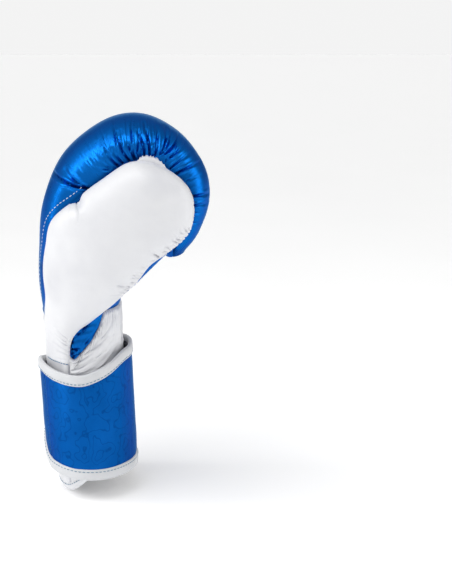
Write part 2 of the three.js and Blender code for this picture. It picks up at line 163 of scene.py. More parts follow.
def columns_of(count):
    """Even shares from 0 to 1, one for each column of a grid."""
    return np.linspace(0, 1, count)[None, :]


def sample(table, position):
    """Smooth curves through a table's columns. Position counts rows from 0 and may be any array."""
    rows = np.asarray(table, float)
    rows = np.vstack([2 * rows[0] - rows[1], rows, 2 * rows[-1] - rows[-2]])
    place = np.clip(np.asarray(position, float), 0, len(table) - 1)
    index = np.minimum(place.astype(int), len(table) - 2)
    w = (place - index)[..., None]
    p0, p1, p2, p3 = (rows[index + k] for k in range(4))
    t0 = (p2 - p0) / 2
    t1 = (p3 - p1) / 2
    return ((2 * p1 - 2 * p2 + t0 + t1) * w + 3 * (p2 - p1) - 2 * t0 - t1) * w * w + t0 * w + p1


def noise(points, size, seed):
    """Smooth noise from -1 to 1 whose features have the given size, a number or one per axis."""
    table = np.random.default_rng(seed).uniform(-1, 1, (32, 32, 32))
    place = np.asarray(points) / size + 1000.0
    cell = np.floor(place).astype(int)
    f = place - cell
    f = f * f * (3 - 2 * f)
    total = 0.0
    for corner in np.ndindex(2, 2, 2):
        x, y, z = ((cell[..., k] + corner[k]) % len(table) for k in range(3))
        total = total + np.prod(np.where(corner, f, 1 - f), axis=-1) * table[x, y, z]
    return total


def power(value, exponent):
    return np.sign(value) * np.abs(value) ** (2 / exponent)


def hand_exponent(row):
    """Roundness of the hand's sections: an ellipse has 2, and more is squarer."""
    return 2 + 0.5 * smooth(row, -0.15, 1.0)


def hand_at(row, degrees, inset=0.0):
    """Points of the hand envelope, shrunk by inset. Angle 0 is its back, 90 the little finger's side and 180
    the palm."""
    row, degrees = grown(row, degrees)
    table = sample(HAND, row + 1)
    back, palm = table[..., 0:2], table[..., 2:4]
    across = unit(back - palm)
    back = back - across * inset
    palm = palm + across * inset
    scale, lift = dome(row, TIP_ROW, ROUND_OFF)
    exponent = hand_exponent(row)
    angle = np.radians(degrees)
    side = power(np.sin(angle), exponent)
    depth = power(np.cos(angle), exponent) * scale
    tip = HAND_TIP[[0, 2]] + np.array([0.0, inset])
    centre = (palm + back) / 2
    centre = centre + (tip - centre) * lift[..., None]
    flat = centre + (back - palm) / 2 * depth[..., None]
    width = np.where(side > 0, table[..., 5], table[..., 4]) - inset
    y = side * width * scale + HAND_TIP[1] * lift
    return xyz(flat[..., 0], y, flat[..., 1])


def thumb_at(row, degrees, inset=0.0):
    """Points of the thumb envelope. Angle 0 is its lower edge, 90 its outer face and 180 its upper edge."""
    row, degrees = grown(row, degrees)
    table = sample(THUMB, row)
    upper, lower = table[..., 0:3], table[..., 3:6]
    across = unit(lower - upper)
    out = unit(np.array([0.0, -1.0, 0.0]) + across * across[..., 1:2])
    upper = upper + across * inset
    lower = lower - across * inset
    scale, lift = dome(row, THUMB_END_ROW, THUMB_ROUND_OFF)
    centre = (upper + lower) / 2
    centre = centre + (THUMB_TIP - THUMB_DIRECTION * inset - centre) * lift[..., None]
    angle = np.radians(degrees)
    side = power(np.sin(angle), THUMB_EXPONENT)
    bulge = np.where(side > 0, table[..., 6], table[..., 7]) - inset
    along = (lower - upper) / 2 * power(np.cos(angle), THUMB_EXPONENT)[..., None]
    return centre + (along + out * (side * bulge)[..., None]) * scale[..., None]


def cuff_at(degrees, z, outside, tucked=True):
    """Points round the cuff. Angle 0 is the palm side, 90 the thumb side. Tucked, it narrows to its hem."""
    degrees, z, outside = grown(degrees, z, outside)
    down = (WRIST_Z - z) / WRIST_Z
    tuck = np.clip((TUCK_TOP - z) / TUCK_TOP, 0, None) * tucked
    centre, depth, width = (size + change * down + narrow * tuck for size, change, narrow in CUFF_SECTION)
    angle = np.radians(degrees)
    x = centre + (depth + outside) * np.cos(angle)
    return xyz(x, -(width + outside) * np.sin(angle), z)


def steps(points, axis):
    """Arc length along an axis of a grid of points, from its start."""
    lengths = np.linalg.norm(np.diff(points, axis=axis), axis=-1)
    total = np.cumsum(lengths, axis=axis)
    pad = [(0, 0)] * total.ndim
    pad[axis] = (1, 0)
    return np.pad(total, pad)


def normals(points, closed=False):
    """Unit normals of a grid, pointing away from each row's middle. Closed joins each row's ends."""
    if closed:
        ring = np.concatenate([points[:, -1:], points, points[:, :1]], axis=1)
        along = (ring[:, 2:] - ring[:, :-2]) / 2
    else:
        along = np.gradient(points, axis=1)
    cross = unit(np.cross(np.gradient(points, axis=0), along))
    middle = points.mean(axis=1, keepdims=True)
    if np.median(np.sum(cross * (points - middle), axis=-1)) < 0:
        cross = -cross
    return cross


def pucker(along, away, spacing, depth, reach, seed):
    """Gathers along a seam: rounded ridges between sharp valleys, which fade with the distance from it."""
    rng = np.random.default_rng(seed)
    count = int(along.max() / spacing) + 4
    place = np.cumsum(rng.uniform(0.55, 1.5, count)) * spacing - 2 * spacing
    size = rng.uniform(0.25, 1.0, count)
    far = reach * rng.uniform(0.4, 1.3, count)
    lean = rng.uniform(-0.35, 0.35, count)
    left = np.clip(np.searchsorted(place, along) - 1, 0, count - 2)
    shifted = along + (lean[left] + 0.5 * (lean[left + 1] - lean[left])) * away
    left = np.clip(np.searchsorted(place, shifted) - 1, 0, count - 2)
    phase = np.clip((shifted - place[left]) / (place[left + 1] - place[left]), 0, 1)
    ridge = 1 - np.abs(2 * phase - 1) ** 2.4
    amount = size[left] * (1 - phase) + size[left + 1] * phase
    length = far[left] * (1 - phase) + far[left + 1] * phase
    return depth * amount * (ridge - 0.75) * np.exp(-away / length)


def nearest(spots, path, marks):
    """The mark of the nearest place on a flat path, whose corners carry the given marks, and the distance."""
    best = np.full(len(spots), 1e9)
    mark = np.zeros(len(spots))
    for a, b, mark_a, mark_b in zip(path[:-1], path[1:], marks[:-1], marks[1:]):
        d = b - a
        t = np.clip((spots - a) @ d / (d @ d), 0, 1)
        gap = np.linalg.norm(spots - a - t[:, None] * d, axis=1)
        closer = gap < best
        best = np.where(closer, gap, best)
        mark = np.where(closer, mark_a + t * (mark_b - mark_a), mark)
    return mark, best


def creases(points, curves):
    """Height of creases drawn as curves in the XZ plane: start x z, end x z, bow, depth, width. Each has a
    low ridge round it."""
    flat = points[..., [0, 2]]
    total = np.zeros(points.shape[:-1])
    for x0, z0, x1, z1, bow, depth, width in curves:
        start, end = np.array([x0, z0]), np.array([x1, z1])
        across = np.array([z0 - z1, x1 - x0])
        reach = np.linalg.norm(across)
        near = np.linalg.norm(flat - (start + end) / 2, axis=-1) < reach / 2 + abs(bow) + 4 * width
        line = np.linspace(0, 1, CREASE_PIECES + 1)
        bowed = start + np.outer(line, end - start) + np.outer(4 * line * (1 - line) * bow, across / reach)
        share, best = nearest(flat[near], bowed, line)
        taper = np.clip(1.15 - share, 0, 1) ** 0.8 * smooth(share, -0.25, 0.12)
        wide = width * (0.7 + 0.6 * share)
        profile = -bump(best, wide) + 0.42 * bump(best - 2.1 * wide, 1.25 * wide)
        total[near] += depth * taper * profile
    return total


# ---------- meshes ----------
def add_mesh(name, points, faces, material):
    mesh = bpy.data.meshes.new(name)
    mesh.from_pydata(points.tolist(), [], faces)
    mesh.materials.append(material)
    mesh.polygons.foreach_set("use_smooth", [True] * len(mesh.polygons))
    obj = bpy.data.objects.new(name, mesh)
    bpy.context.scene.collection.objects.link(obj)
    return obj


def build(name, grid, material, closed=False, uv=None, fields=None):
    """A closed mesh from a grid of points in sketch millimetres. Each row is a closed loop, and the rows are
    joined in turn: the last to the first where closed, and both ends capped where not. Fields are values at
    the points, by name, for the material."""
    rows, columns = grid.shape[:2]
    points = to_row(grid.reshape(-1, 3))
    i, j = np.meshgrid(np.arange(rows if closed else rows - 1), np.arange(columns), indexing="ij")
    next_row, next_column = (i + 1) % rows, (j + 1) % columns
    corners = ((i, j), (i, next_column), (next_row, next_column), (next_row, j))
    quads = np.stack([row * columns + column for row, column in corners], axis=-1).reshape(-1, 4)
    a, b, c, d = (points[quads[:, k]] for k in range(4))
    volume = np.sum(np.cross(a, b) * c) + np.sum(np.cross(a, c) * d)
    faces = quads.tolist()
    if not closed:
        faces += [list(range(columns))[::-1], list(range((rows - 1) * columns, rows * columns))]
    if volume < 0:
        faces = [face[::-1] for face in faces]
    obj = add_mesh(name, points, faces, material)
    mesh = obj.data
    if uv is not None:
        loop_points = np.empty(len(mesh.loops), dtype=np.int32)
        mesh.loops.foreach_get("vertex_index", loop_points)
        mesh.uv_layers.new(name="cut").data.foreach_set("uv", uv.reshape(-1, 2)[loop_points].ravel())
    for key, values in (fields or {}).items():
        mesh.attributes.new(key, "FLOAT", "POINT").data.foreach_set("value", values.ravel())
    mesh.set_sharp_from_angle(angle=math.radians(SHARP_DEG))
    mesh.update()
    return obj


def beside(face, back):
    """A grid whose rows run out over a face and home over its back."""
    return np.concatenate([face, back[:, ::-1]], axis=1)


def crease_shade(amount, shade=0.0):
    """How much painted shade each point gets for lying in a crease, from 0 to 1, and no less than a given
    shade.
    """
    return np.maximum(np.clip(-amount / DARK_CREASE, 0, 1), shade)


def panel(name, outer, inner, amount, material, gather=None, shade=0.0):
    """A padded panel: a fine outer surface moved along its normals by amount, backed by a plain inner one.
    Gather is where the leather is drawn up: distances along and away from the gathered line, and how much.
    Its colour gets painted shade in its creases, and no less than the given shade."""
    lifted = outer + normals(outer) * amount[..., None]
    none = np.zeros(inner.shape[:2])
    fields = {"crease": beside(crease_shade(amount, shade), none)}
    uv = None
    if gather:
        along, away, strength = gather
        uv = beside(xyz(along, away) * MM, np.zeros((*none.shape, 2)))
        fields["gather"] = beside(strength, none)
    return build(name, beside(lifted, inner), material, uv=uv, fields=fields), lifted


def sleeve(name, outer, inner, amount, material, shade=0.0):
    """A padded ring: rows are closed loops, from the low edge to the high edge. Its colour gets painted shade
    in its creases, and no less than the given shade.
    """
    lifted = outer + normals(outer, closed=True) * amount[..., None]
    depth = beside(crease_shade(amount, shade).T, np.zeros(inner.shape[:2]).T)
    grid = beside(lifted.transpose(1, 0, 2), inner.transpose(1, 0, 2))
    return build(name, grid, material, closed=True, fields={"crease": depth})


def follow(values, known, wanted):
    """Columns of values, known at some places, between those places."""
    return np.stack([np.interp(wanted, known, column) for column in values.T], axis=-1)


def follow_rows(grid, known, wanted):
    return np.array([follow(*row, wanted) for row in zip(grid, known)])


def resample(path, spacing):
    """Points at even steps along a path, with the directions and the shares of its length there."""
    lengths = np.concatenate([[0], np.cumsum(np.linalg.norm(np.diff(path, axis=0), axis=1))])
    count = max(2, int(lengths[-1] / spacing))
    at = np.linspace(spacing / 2, lengths[-1] - spacing / 2, count)
    step = 0.4
    behind, place, ahead = (follow(path, lengths, at + shift) for shift in (-step, 0, step))
    return place, unit(ahead - behind), at / lengths[-1]


# Rings of points that make one stitch: place along it over its length, then size and height over its radius.
STITCH_RINGS = [(-0.5, 0.45, -0.5), (-0.3, 0.95, 0.1), (0.0, 1.0, 0.35), (0.3, 0.95, 0.1), (0.5, 0.45, -0.5)]
STITCH_SIDES = 6


def stitches(name, path, facing, material, pitch=3.4, length=2.5, radius=0.36):
    """A row of stitches along a path on a surface that faces given directions, with their ends sunk in."""
    place, along, share = resample(path, pitch)
    up = follow(facing, np.linspace(0, 1, len(facing)), share)
    up = unit(up - along * np.sum(up * along, axis=1, keepdims=True))
    side = np.cross(along, up)
    points = []
    for where, size, height in STITCH_RINGS:
        for angle in np.arange(STITCH_SIDES) * 2 * math.pi / STITCH_SIDES:
            rise = radius * (height + size * math.sin(angle))
            aside = radius * size * math.cos(angle)
            points.append(place + along * (where * length) + up * rise + side * aside)
    sides, last = STITCH_SIDES, STITCH_SIDES * (len(STITCH_RINGS) - 1)
    one = [list(range(sides))[::-1], list(range(last, last + sides))]
    for ring in range(0, last, sides):
        for m in range(sides):
            n = (m + 1) % sides
            one.append([ring + m, ring + n, ring + sides + n, ring + sides + m])
    faces = [[c * len(points) + v for v in face] for c in range(len(place)) for face in one]
    return add_mesh(name, to_row(np.stack(points, axis=1).reshape(-1, 3)), faces, material)


# ---------- materials ----------
class Nodes:
    """Short calls for building the node tree of a material or a world."""

    def __init__(self, owner, shader="Principled BSDF"):
        self.owner = owner
        owner.use_nodes = True
        self.tree = owner.node_tree
        self.shader = self.tree.nodes[shader]

    def add(self, kind, **settings):
        """A new node. A setting is an input socket, with _ for its spaces, or else a property."""
        node = self.tree.nodes.new(kind)
        for key, value in settings.items():
            if key.replace("_", " ") in node.inputs:
                node.inputs[key.replace("_", " ")].default_value = value
            else:
                setattr(node, key, value)
        return node

    def link(self, source, target):
        self.tree.links.new(source, target)

    def feed(self, pairs):
        """Link each socket to its value, or set it where the value is a constant."""
        for socket, value in pairs:
            if hasattr(value, "links"):
                self.link(value, socket)
            else:
                socket.default_value = value

    def place(self, uv=None):
        if uv:
            return self.add("ShaderNodeUVMap", uv_map=uv).outputs["UV"]
        return self.add("ShaderNodeTexCoord").outputs["Object"]

    def noise(self, coordinates, scale, detail=3.0, rough=0.55):
        node = self.add("ShaderNodeTexNoise", Scale=scale, Detail=detail, Roughness=rough)
        self.link(coordinates, node.inputs["Vector"])
        return node.outputs["Fac"]

    def ramp(self, value, stops):
        node = self.add("ShaderNodeValToRGB")
        node.color_ramp.elements[0].position, node.color_ramp.elements[0].color = stops[0]
        node.color_ramp.elements[1].position, node.color_ramp.elements[1].color = stops[-1]
        for position, colour in stops[1:-1]:
            node.color_ramp.elements.new(position).color = colour
        self.link(value, node.inputs["Fac"])
        return node.outputs["Color"]

    def math(self, operation, a, b=0.0):
        node = self.add("ShaderNodeMath", operation=operation)
        self.feed(zip(node.inputs, (a, b)))
        return node.outputs["Value"]

    def mix(self, factor, a, b):
        node = self.add("ShaderNodeMix", data_type="RGBA")
        self.feed(((node.inputs[0], factor), (node.inputs[6], a), (node.inputs[7], b)))
        return node.outputs[2]

    def bumps(self, *layers):
        """Bump layers from coarse to fine, each a height, its strength and its distance in metres."""
        normal = None
        for height, strength, distance in layers:
            node = self.add("ShaderNodeBump", Strength=strength, Distance=distance)
            self.link(height, node.inputs["Height"])
            if normal:
                self.link(normal, node.inputs["Normal"])
            normal = node.outputs["Normal"]
        self.link(normal, self.shader.inputs["Normal"])

    def colour(self, source):
        self.link(source, self.shader.inputs["Base Color"])

    def set(self, **values):
        for key, value in values.items():
            self.shader.inputs[key.replace("_", " ")].default_value = value


def leather(name, tones, rough, metallic=0.0, edge=(1, 1, 1, 1), depth=1.0, pattern=False, gathered=False):
    """Grained leather: cells of grain, fine wrinkles, slow changes between a light and a dark tone, and a
    deep tone painted into its creases as shade. Depth is that of the grain. A patterned one has thin wavy
    lines in the deep tone, and a gathered one has fine wrinkles that run away from its gathered line."""
    light, dark, deep = tones
    n = Nodes(bpy.data.materials.new(name))
    place = n.place()
    cells = n.add("ShaderNodeTexVoronoi", feature="DISTANCE_TO_EDGE", Scale=820.0, Randomness=1.0)
    n.link(place, cells.inputs["Vector"])
    grain = n.math("MINIMUM", cells.outputs["Distance"], 0.22)
    pores = n.noise(place, 1500.0, 2.0)
    wrinkles = n.noise(place, 210.0, 4.0, 0.6)
    colour = n.ramp(n.noise(place, 34.0, 4.0), [(0.3, dark), (0.7, light)])
    # Painted shade: the colour darkens towards the deep tone by the crease field, in creases and where panels
    # are shaded.
    crease = n.add("ShaderNodeAttribute", attribute_name="crease").outputs["Fac"]
    colour = n.mix(n.math("MULTIPLY", crease, 0.75), colour, deep)
    layers = [
        (wrinkles, 0.16 * depth, 0.0008),
        (grain, 0.3 * depth, 0.0005),
        (pores, 0.12 * depth, 0.0002),
    ]
    if pattern:
        flat = n.place("cut")
        warp = n.noise(flat, 36.0, 2.5, 0.5)
        lines = n.math("ABSOLUTE", n.math("SUBTRACT", n.math("FRACT", n.math("MULTIPLY", warp, 10.0)), 0.5))
        drawn = n.math("SUBTRACT", 1.0, n.math("MULTIPLY", lines, 8.0))
        drawn = n.math("MAXIMUM", n.math("MINIMUM", drawn, 1.0), 0.0)
        colour = n.mix(n.math("MULTIPLY", drawn, 0.5), colour, deep)
    if gathered:
        stretch = n.add("ShaderNodeMapping", vector_type="POINT")
        stretch.inputs["Scale"].default_value = (1.0, 0.13, 1.0)
        n.link(n.place("cut"), stretch.inputs["Vector"])
        rays = n.noise(stretch.outputs["Vector"], 620.0, 3.0, 0.6)
        strength = n.add("ShaderNodeAttribute", attribute_name="gather").outputs["Fac"]
        layers.insert(0, (n.math("MULTIPLY", rays, strength), 0.4, 0.0011))
    n.colour(colour)
    roughness = n.math("ADD", n.math("MULTIPLY", n.noise(place, 420.0, 3.0), 0.14), rough - 0.07)
    n.link(roughness, n.shader.inputs["Roughness"])
    n.set(Metallic=metallic, Specular_Tint=edge)
    n.bumps(*layers)
    return n.owner


def woven(name, light, dark, threads=900.0):
    """A close knit: two crossed waves of thread, with slubs."""
    n = Nodes(bpy.data.materials.new(name))
    place = n.place()
    rows = n.add("ShaderNodeTexWave", bands_direction="Z", Scale=threads / 6.0, Distortion=0.6)
    ribs = n.add("ShaderNodeTexWave", bands_direction="DIAGONAL", Scale=threads / 9.0, Distortion=0.8)
    n.link(place, rows.inputs["Vector"])
    n.link(place, ribs.inputs["Vector"])
    height = n.math("MULTIPLY", rows.outputs["Fac"], ribs.outputs["Fac"])
    n.colour(n.ramp(n.math("ADD", height, n.noise(place, 60.0)), [(0.3, dark), (1.2, light)]))
    n.set(Roughness=0.88, Sheen_Weight=0.3, Sheen_Roughness=0.5)
    n.bumps((height, 0.5, 0.0005))
    return n.owner


def pile(name, colour, tip, scale):
    """Hook or loop tape: a dense field of small knots."""
    n = Nodes(bpy.data.materials.new(name))
    place = n.place()
    cells = n.add("ShaderNodeTexVoronoi", Scale=scale, Randomness=0.55)
    n.link(place, cells.inputs["Vector"])
    height = n.math("SUBTRACT", 1.0, cells.outputs["Distance"])
    n.colour(n.ramp(height, [(0.35, colour), (0.95, tip)]))
    n.set(Roughness=0.95)
    n.bumps((height, 0.8, 0.0012))
    return n.owner


def thread(name, light, dark):
    n = Nodes(bpy.data.materials.new(name))
    twist = n.add("ShaderNodeTexWave", bands_direction="DIAGONAL", Scale=420.0)
    n.link(n.place(), twist.inputs["Vector"])
    n.colour(n.ramp(twist.outputs["Fac"], [(0.0, dark), (1.0, light)]))
    n.set(Roughness=0.6)
    n.bumps((twist.outputs["Fac"], 0.4, 0.0002))
    return n.owner


def plain_floor():
    n = Nodes(bpy.data.materials.new("floor_paper"))
    tones = [(0.3, (0.91, 0.91, 0.91, 1)), (0.7, (0.94, 0.94, 0.94, 1))]
    n.colour(n.ramp(n.noise(n.place(), 3.0), tones))
    n.set(Roughness=0.75, Emission_Color=(1, 1, 1, 1), Emission_Strength=0.21)
    return n.owner


# Tones: light, dark, and the deep tone of the painted shade in creases; the strap's printed lines use its
# deep tone too.
BLUE_TONES = ((0.004, 0.15, 0.57, 1), (0.003, 0.12, 0.48, 1), (0.001, 0.02, 0.1, 1))
STRAP_TONES = ((0.003, 0.1, 0.4, 1), (0.002, 0.08, 0.33, 1), (0.001, 0.03, 0.15, 1))
WHITE_TONES = ((0.78, 0.785, 0.805, 1), (0.73, 0.735, 0.76, 1), (0.34, 0.35, 0.41, 1))
BINDING_TONES = ((0.66, 0.67, 0.685, 1), (0.61, 0.62, 0.64, 1), (0.4, 0.42, 0.46, 1))
BLUE_EDGE = (0.05, 0.4, 0.62, 1)  # tint of the reflections at a grazing angle
BLUE = leather("blue_leather", BLUE_TONES, 0.3, 0.9, BLUE_EDGE, 0.5, gathered=True)
STRAP_BLUE = leather("strap_leather", STRAP_TONES, 0.32, 0.9, BLUE_EDGE, 0.7, pattern=True)
WHITE = leather("white_leather", WHITE_TONES, 0.34)
BINDING = leather("binding_leather", BINDING_TONES, 0.42)
LINING = woven("lining_cloth", (0.02, 0.035, 0.09, 1), (0.006, 0.012, 0.035, 1))
ELASTIC = woven("gusset_cloth", (0.03, 0.03, 0.04, 1), (0.008, 0.008, 0.012, 1), 1400.0)
LOOP = pile("loop_tape", (0.004, 0.005, 0.008, 1), (0.03, 0.035, 0.05, 1), 900.0)
HOOK = pile("hook_tape", (0.004, 0.004, 0.006, 1), (0.05, 0.05, 0.06, 1), 620.0)
WHITE_THREAD = thread("white_thread", (0.72, 0.8, 0.9, 1), (0.5, 0.58, 0.7, 1))
BINDING_THREAD = thread("binding_thread", (0.24, 0.36, 0.46, 1), (0.13, 0.22, 0.31, 1))
BLUE_THREAD = thread("blue_thread", (0.02, 0.2, 0.42, 1), (0.01, 0.1, 0.24, 1))


# ---------- where the panels of the hand meet ----------
# Upper edge of the white wrist panels: angle round the hand and slice row. From 228 to 285 degrees it is the
# lower edge of the blue leaf below the thumb. The stretch after that lies under the thumb.
WRIST_TOP = [
    (-50, 1.0), (-20, 1.0), (20, 1.0), (60, 1.0), (86, 1.08), (102, 1.45),
    (140, 1.58), (200, 1.6), (228, 1.58), (239, 1.45), (249, 1.02), (258, 0.67),
    (268, 0.37), (276, 0.17), (285, 0.05), (292, 0.35), (300, 0.85), (310, 1.0),
]
LEAF_END_DEG = 285
HAND_END = TIP_ROW + ROUND_OFF * 0.985


def wrist_top(degrees):
    fine = sample(WRIST_TOP, np.linspace(0, len(WRIST_TOP) - 1, 400))
    return np.interp(np.mod(np.asarray(degrees, float) + 50, 360) - 50, fine[:, 0], fine[:, 1])


def thumb_side_seam(share):
    """Angle of the seam between palm and knuckle panels on the thumb side, which the thumb hides low down."""
    return LEAF_END_DEG - (LEAF_END_DEG - (360 - SIDE_SEAM_DEG)) * smooth(share, 0.14, 0.34)


def palm_grid(rows, columns, inset):
    share = rows_of(rows)
    degrees = SIDE_SEAM_DEG + (thumb_side_seam(share) - SIDE_SEAM_DEG) * columns_of(columns)
    low = wrist_top(degrees)
    row = low + (HAND_END - low) * share
    return hand_at(row, degrees, inset), row


def respace(grids, columns, crowding):
    """Grids of the same rows with their columns spaced anew along the first one, closer at their start."""
    length = steps(grids[0], 1)
    even = np.linspace(0, 1, columns)
    wanted = (1 - crowding) * even + crowding * even**2
    share = length / length[:, -1:]
    layers = [grid.reshape(*share.shape, -1) for grid in grids]
    return [follow_rows(layer, share, wanted).squeeze() for layer in layers]


def fist_grid(rows, columns, inset):
    edge_share = np.linspace(0, 1, 400)
    edge_degrees = thumb_side_seam(edge_share)
    edge_low = wrist_top(edge_degrees)
    edge_row = edge_low + (HAND_END - edge_low) * edge_share
    # Rows lie closer together over the gathered side of the fist.
    even = np.linspace(0, 1, 2000)
    crowd = np.cumsum(0.5 + smooth(even * HAND_END, 3.0, 4.6))
    share = np.interp(np.linspace(crowd[0], crowd[-1], rows), crowd, even)[:, None]
    start_row = 0.9 + (HAND_END - 0.9) * share
    start = np.interp(start_row, edge_row, edge_degrees) - 360
    degrees = start + (SIDE_SEAM_DEG - start) * columns_of(columns)
    low = wrist_top(degrees)
    row = low + (HAND_END - low) * share
    return hand_at(row, degrees, inset), row


def outline_of_thumb():
    """The thumb's outer edge in the XZ plane: up its upper edge, round the tip and down its lower edge."""
    tip = THUMB_END_ROW + THUMB_ROUND_OFF * 0.98
    upward = thumb_at(np.linspace(2, tip, 120), 180)
    downward = thumb_at(np.linspace(tip, 4, 80), 0)
    return np.concatenate([upward, downward])[:, [0, 2]]


def along_outline(points, outline):
    """Arc length along an outline of the nearest point on it, and the distance to it."""
    found = nearest(points[..., [0, 2]].reshape(-1, 2), outline, steps(outline, 0))
    return (part.reshape(points.shape[:-1]) for part in found)


def border_distance(points, axis=1):
    """Distance along a grid from its first and from its last column, or row where the axis is 0."""
    length = steps(points, axis)
    return length, length.take([-1], axis) - length


def line_at(points, facing, distance, from_end=False):
    """The line on a grid that keeps a distance from its first column, or from its last, and what it faces."""
    if from_end:
        points, facing = points[:, ::-1], facing[:, ::-1]
    away = steps(points, 1)
    return follow_rows(points, away, distance), follow_rows(facing, away, distance)


# Creases, each with its start x z, end x z, bow, depth and width. The main ones fan out from the top of the
# thumb across the side of the fist. The others lie on the leaf, on the heel panel and on the thumb.
MAIN_CREASES = [
    (4, 260, -28, 272, 2.6, 3.2, 1.1), (3, 261, -14, 273, 1.8, 2.2, 1.0),
    (21, 274, 6, 281, 2.6, 0.7, 0.9), (22, 275, 9, 287, 1.0, 0.9, 0.9),
    (28, 277, 17, 290, 0.8, 1.6, 0.9), (32, 279, 23, 290, 0.5, 1.7, 0.9),
    (37, 281, 28, 297, 1.3, 1.7, 0.9), (41, 282, 33, 297, -0.4, 2.1, 1.2),
    (44, 283, 42, 291, -0.5, 1.4, 1.2), (48, 285, 43, 303, -1.1, 1.9, 0.9),
    (52, 286, 48, 309, -0.7, 2.1, 0.9), (56, 285, 58, 306, -1.0, 1.9, 0.9),
    (60, 286, 65, 306, -1.8, 1.9, 0.9), (62, 287, 69, 300, -0.6, 1.8, 0.9),
    (64, 286, 76, 299, -0.8, 1.6, 0.9), (67, 283, 80, 293, -0.6, 1.6, 0.9),
    (68, 275, 85, 286, 0.8, 1.6, 0.9), (72, 271, 92, 278, 0.8, 2.0, 0.9),
    (80, 265, 91, 269, 0, 1.0, 0.9), (85, 253.5, 98, 253.5, 0, 2.2, 1.0),
    (86, 246, 96, 246, 0, 1.8, 0.9), (86, 240, 93, 239, 0, 1.2, 0.8),
    (85, 232, 92, 231, 0, 0.9, 0.8),
]
LEAF_CREASES = [
    (-12, 136, -4, 139, 0, 1.4, 1.0), (-12, 133, 0, 138, 0.5, 1.0, 1.0), (-12, 128, -2, 129, 0, 1.5, 1.0),
    (-12, 124, -4, 128, 0.5, 1.2, 1.0), (-11, 121, -3, 125, 0, 0.9, 0.9), (-6, 141, 6, 146, 0, 0.9, 1.0),
    (-2, 146, 9, 151, 0, 1.0, 1.0), (1, 133, 10, 143, 0, 0.8, 1.1),
]
HEEL_CREASES = [
    (-11, 106, 14, 112, -1.5, 0.8, 1.0), (-10, 110, 8, 121, -1.5, 0.9, 1.0),
    (-9, 116, 10, 128, -1.5, 0.9, 0.9), (-6, 107, 18, 120, -2, 0.8, 1.1),
    (0, 124, 12, 135, -1, 0.8, 0.9), (6, 127, 20, 141, -1.5, 0.9, 1.0),
    (10, 121, 24, 138, -2, 0.7, 1.0), (13, 112, 27, 128, -2, 0.7, 1.1),
    (14, 137, 25, 156, -2, 0.7, 1.0), (31, 128, 30.5, 168, 0.5, 1.3, 1.2),
]
THUMB_CREASES = [
    (-13, 138, -23, 147, 1.0, 0.7, 0.9), (-14, 135, -26, 144, 1.0, 0.6, 0.8),
    (-14, 132, -24, 139, 0.5, 0.7, 0.9), (-14, 128, -25, 133, 0.5, 0.6, 0.8),
    (-14, 124, -22, 126, 0, 0.7, 0.8), (-14, 120, -24, 119, 0, 0.5, 0.8),
    (-5, 250, -3, 237, 1.5, 1.0, 0.8), (-9, 248, -11, 240, 0, 0.7, 0.7),
]
FAN_CENTRE = np.array([40.0, 232.0])  # x z of the middle of the thumb's end
FAN_RADIUS = 52.0


def heading(angle):
    return np.array([math.cos(angle), math.sin(angle)])


def fine_creases():
    """Short creases scattered between the main ones, fanned round the middle of the thumb's tip."""
    rng = np.random.default_rng(SEED)
    curves = []
    for angle in np.linspace(58, 150, 56):
        direction = np.radians(angle + rng.uniform(-3, 3))
        start = FAN_CENTRE + (FAN_RADIUS + rng.uniform(0, 12)) * heading(direction)
        turned = direction + rng.uniform(-0.12, 0.12)
        end = start + rng.uniform(8, 26) * heading(turned)
        curves.append((*start, *end, rng.uniform(-0.9, 0.9), rng.uniform(0.35, 1.1), rng.uniform(0.45, 0.75)))
    return curves


# ---------- hand ----------
# An amount is how far the leather stands out from its envelope at each point.
# The gathers along the seam on the little finger's side match on both of its panels.
SIDE_GATHER_SHIFT, SIDE_GATHER_SEED = 60, SEED + 5


def calm_end(row):
    """Share of the leather's relief that is left towards the end of the curled fingers."""
    return 1 - 0.85 * smooth(row, 11.2, 12.2)


